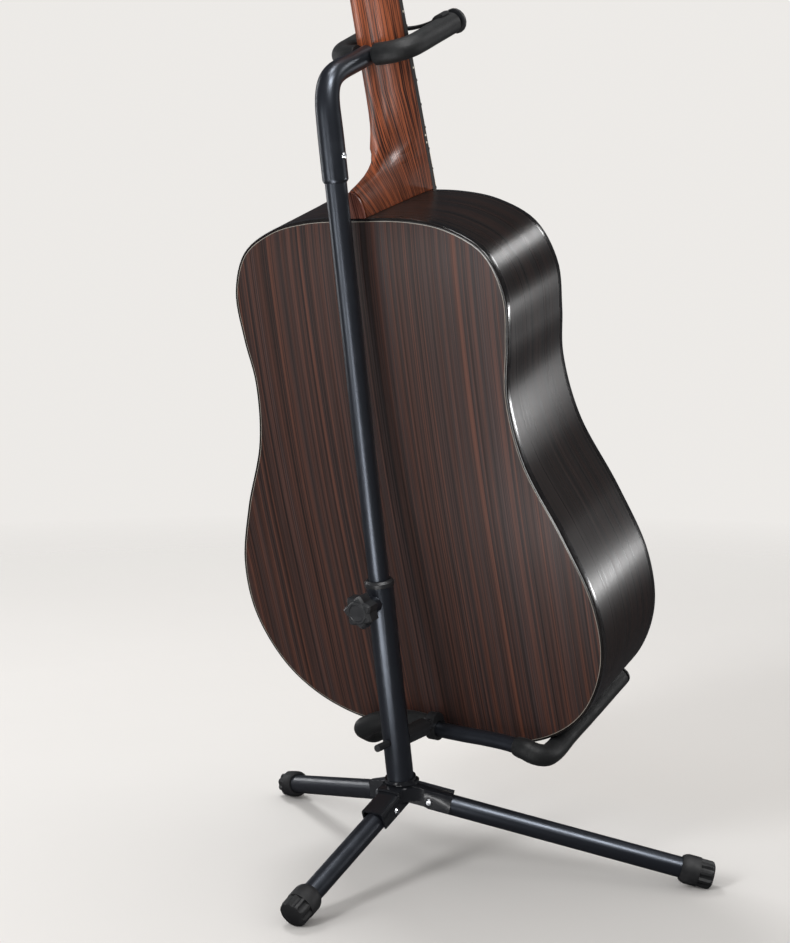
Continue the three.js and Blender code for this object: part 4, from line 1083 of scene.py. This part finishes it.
def strings():
    """Each string runs from its bridge pin over saddle and nut to its tuning post."""
    head = Matrix.Translation(Vector((0, 0, HEAD_AT)) * MM) @ Matrix.Rotation(-HEAD_TILT, 4, "X")
    last = len(STRING_GAUGES) - 1
    for k, gauge in enumerate(STRING_GAUGES):
        at_bridge = BRIDGE_SPREAD * (k / last - 0.5)
        at_nut = NUT_SPREAD * (k / last - 0.5)
        side = -1 if k < len(TUNER_AT) else 1
        post = min(k, last - k)
        post_x = side * (POST_OUT + POST_SPLAY * post)
        straight = (
            (at_bridge, PIN_DEPTH, SADDLE_AT - PIN_BELOW_SADDLE),
            *[(at_bridge, SADDLE_DEPTH, SADDLE_AT + step) for step in SADDLE_TOP],
            *[(at_nut, NUT_DEPTH, NUT_AT + step) for step in NUT_TOP],
        )
        line = [Vector(place) * MM for place in straight]
        line.append(head @ (Vector((post_x + side * POST_MEETS, NUT_DEPTH, TUNER_AT[post])) * MM))
        finish = "wound_string" if k < WOUND_STRINGS else "plain_string"
        name = f"string_{k + 1}"
        mesh = sweep(name, line, lambda *_: gauge * MM / 2, STRING_SIDES, GUITAR)
        piece(name, mesh, finish, "guitar", (), 60)
        turns = winding(head, post_x, TUNER_AT[post], gauge)
        piece(f"string_winding_{k + 1}", turns, finish, "guitar", (), 60)


def dots():
    """The marks on the side of the fingerboard and on its face, between frets."""
    marks = [(n, 0) for n in SINGLE_DOTS] + [(DOUBLE_DOT, -SIDE_DOT_STEP), (DOUBLE_DOT, SIDE_DOT_STEP)]
    on_side = []
    on_face = []
    for n, off in marks:
        u = (fret_at(n) + fret_at(n - 1)) / 2
        on_side.append((-half_width(u), SIDE_DOT_DEPTH, u + off))
        on_face.append((off * FACE_DOT_SPREAD, BOARD_FACE + FACE_DOT_SUNK, u))
    discs("side_dots", on_side, SIDE_DOT_SIZE, Vector((-1, 0, 0)), "ivory_plastic")
    discs("face_dots", on_face, FACE_DOT_SIZE, Vector((0, -1, 0)), "ivory_plastic")


def neck():
    skin("neck", "neck_wood", 0.6, 32)
    skin("heel_cap", "heel_cap", 0.3)
    skin("fingerboard", "fingerboard_wood", 0.2)
    for side in ("bass", "treble"):
        skin(f"tuner_plate_{side}", "chrome", 0.5)
        for k in (1, 2, 3):
            skin(f"tuner_button_{side}_{k}", "chrome", 0.4, 50)
    dots()
    frets()
    strings()


# ---- Studio --------------------------------------------------------------------------------------
MIDDLE = (0, 0, 0.5)
NEAR_LEG = (-0.13, -0.07, 0.05)
FAR_LEG = (0.13, -0.07, 0.05)

# Lamps, in metres and watts: name, place, what it faces, size, power. Softboxes light the part and
# don't show in polished surfaces; strips only show there.
SOFTBOXES = (
    ("key_softbox", (0.3, 2.3, 1.5), MIDDLE, (0.5, 1.1), 32),
    ("back_softbox", (1.2, -0.7, 2.3), (0, 0, 0.2), (0.8, 0.8), 24),
)
STRIPS = (
    ("shoulder_strip", (-0.92, -1.24, 1.59), (-0.13, 0.02, 0.58), (0.3, 0.36), 6),
    ("hip_strip", (-1.24, -1.47, 0.42), (-0.17, -0.06, 0.33), (0.14, 0.2), 5),
    ("rim_strip", (1.9, 0.1, 0.9), MIDDLE, (0.3, 1.6), 7),
    ("top_strip", (-0.3, 0.3, 2.4), MIDDLE, (0.7, 0.7), 22),
    ("leg_strip", (-1.04, 0.62, 1.57), NEAR_LEG, (0.55, 0.55), 24),
    ("far_strip", (1.9, -0.75, 0.3), FAR_LEG, (0.4, 0.3), 1.6),
)
# Strips that lie on the floor and face up, with how far they are turned about z.
FLOOR_STRIPS = (
    ("tube_strip", (-0.28, 1.43, 0.01), math.radians(11), (0.3, 2.3), 17),
    ("sheen_panel", (0.76, 2.02, 0.01), math.radians(-21), (0.5, 1.2), 21),
)
BACKDROP = (0.845, 0.825, 0.80)
SOFT_ROOM = (0.74, 0.727, 0.714)
DIM_ROOM = (0.05, 0.052, 0.06)
FLOOR_HALF = 30


def area_light(name, at, turn, size, power, shine):
    """A rectangular lamp: with shine it only shows in reflections, without it only lights surfaces."""
    data = bpy.data.lights.new(name, "AREA")
    data.shape = "RECTANGLE"
    data.size, data.size_y = size
    data.energy = power
    lamp = linked(bpy.data.objects.new(name, data))
    lamp.location = at
    lamp.rotation_euler = turn
    lamp.visible_camera = False
    lamp.visible_glossy = shine
    lamp.visible_diffuse = not shine


def facing(at, target):
    return (Vector(target) - Vector(at)).to_track_quat("-Z", "Y").to_euler()


def lamps():
    for group, shine in ((SOFTBOXES, False), (STRIPS, True)):
        for name, at, target, size, power in group:
            area_light(name, at, facing(at, target), size, power, shine)
    for name, at, angle, size, power in FLOOR_STRIPS:
        area_light(name, at, (math.pi, 0, angle), size, power, True)


def studio_world():
    """A pale backdrop for the camera, soft light for the part, and a dim room in its reflections."""
    world = bpy.data.worlds.new("studio")
    bpy.context.scene.world = world
    world.use_nodes = True
    tree = world.node_tree
    ray = tree.nodes.new("ShaderNodeLightPath").outputs

    def background(colour):
        made = tree.nodes.new("ShaderNodeBackground")
        made.inputs["Color"].default_value = (*colour, 1)
        made.inputs["Strength"].default_value = 1
        return made.outputs[0]

    def choice(factor, otherwise, chosen):
        made = tree.nodes.new("ShaderNodeMixShader")
        for socket, source in zip(made.inputs, (factor, otherwise, chosen)):
            tree.links.new(source, socket)
        return made.outputs[0]

    room = choice(ray["Is Glossy Ray"], background(SOFT_ROOM), background(DIM_ROOM))
    seen = choice(ray["Is Camera Ray"], room, background(BACKDROP))
    tree.links.new(seen, tree.nodes["World Output"].inputs["Surface"])


def studio():
    floor = bpy.data.meshes.new("floor")
    corners = [(x * FLOOR_HALF, y * FLOOR_HALF, 0) for x, y in ((-1, -1), (1, -1), (1, 1), (-1, 1))]
    floor.from_pydata(corners, [], [(0, 1, 2, 3)])
    floor.materials.append(studio_floor().material)
    ground = linked(bpy.data.objects.new("floor", floor))
    bpy.context.scene.view_settings.view_transform = "Standard"
    studio_world()
    lamps()


# The photo's camera, solved in the stand's frame; its picture is taller than wide.
CAMERA_FORWARD = Vector((0.5808, -0.8072, -0.1054)).normalized()
CAMERA_UP = Vector((0.0621, -0.0852, 0.9944)).normalized()
CAMERA_PLACE = Vector((-883.99, 1239.92, 538.94)) * MM
FOCAL_PIXELS = 1687.7
IMAGE_HEIGHT = 943
SENSOR = 36
NEAREST_SEEN = 0.05


def camera():
    data = bpy.data.cameras.new("camera")
    data.sensor_width = SENSOR
    data.lens = FOCAL_PIXELS * SENSOR / IMAGE_HEIGHT
    data.clip_start = NEAREST_SEEN
    eye = linked(bpy.data.objects.new("camera", data))
    right = CAMERA_FORWARD.cross(CAMERA_UP).normalized()
    up = right.cross(CAMERA_FORWARD)
    eye.matrix_world = basis(right, up, -CAMERA_FORWARD, STAND @ CAMERA_PLACE)
    bpy.context.scene.camera = eye


camera()
stand()
body()
neck()
studio()
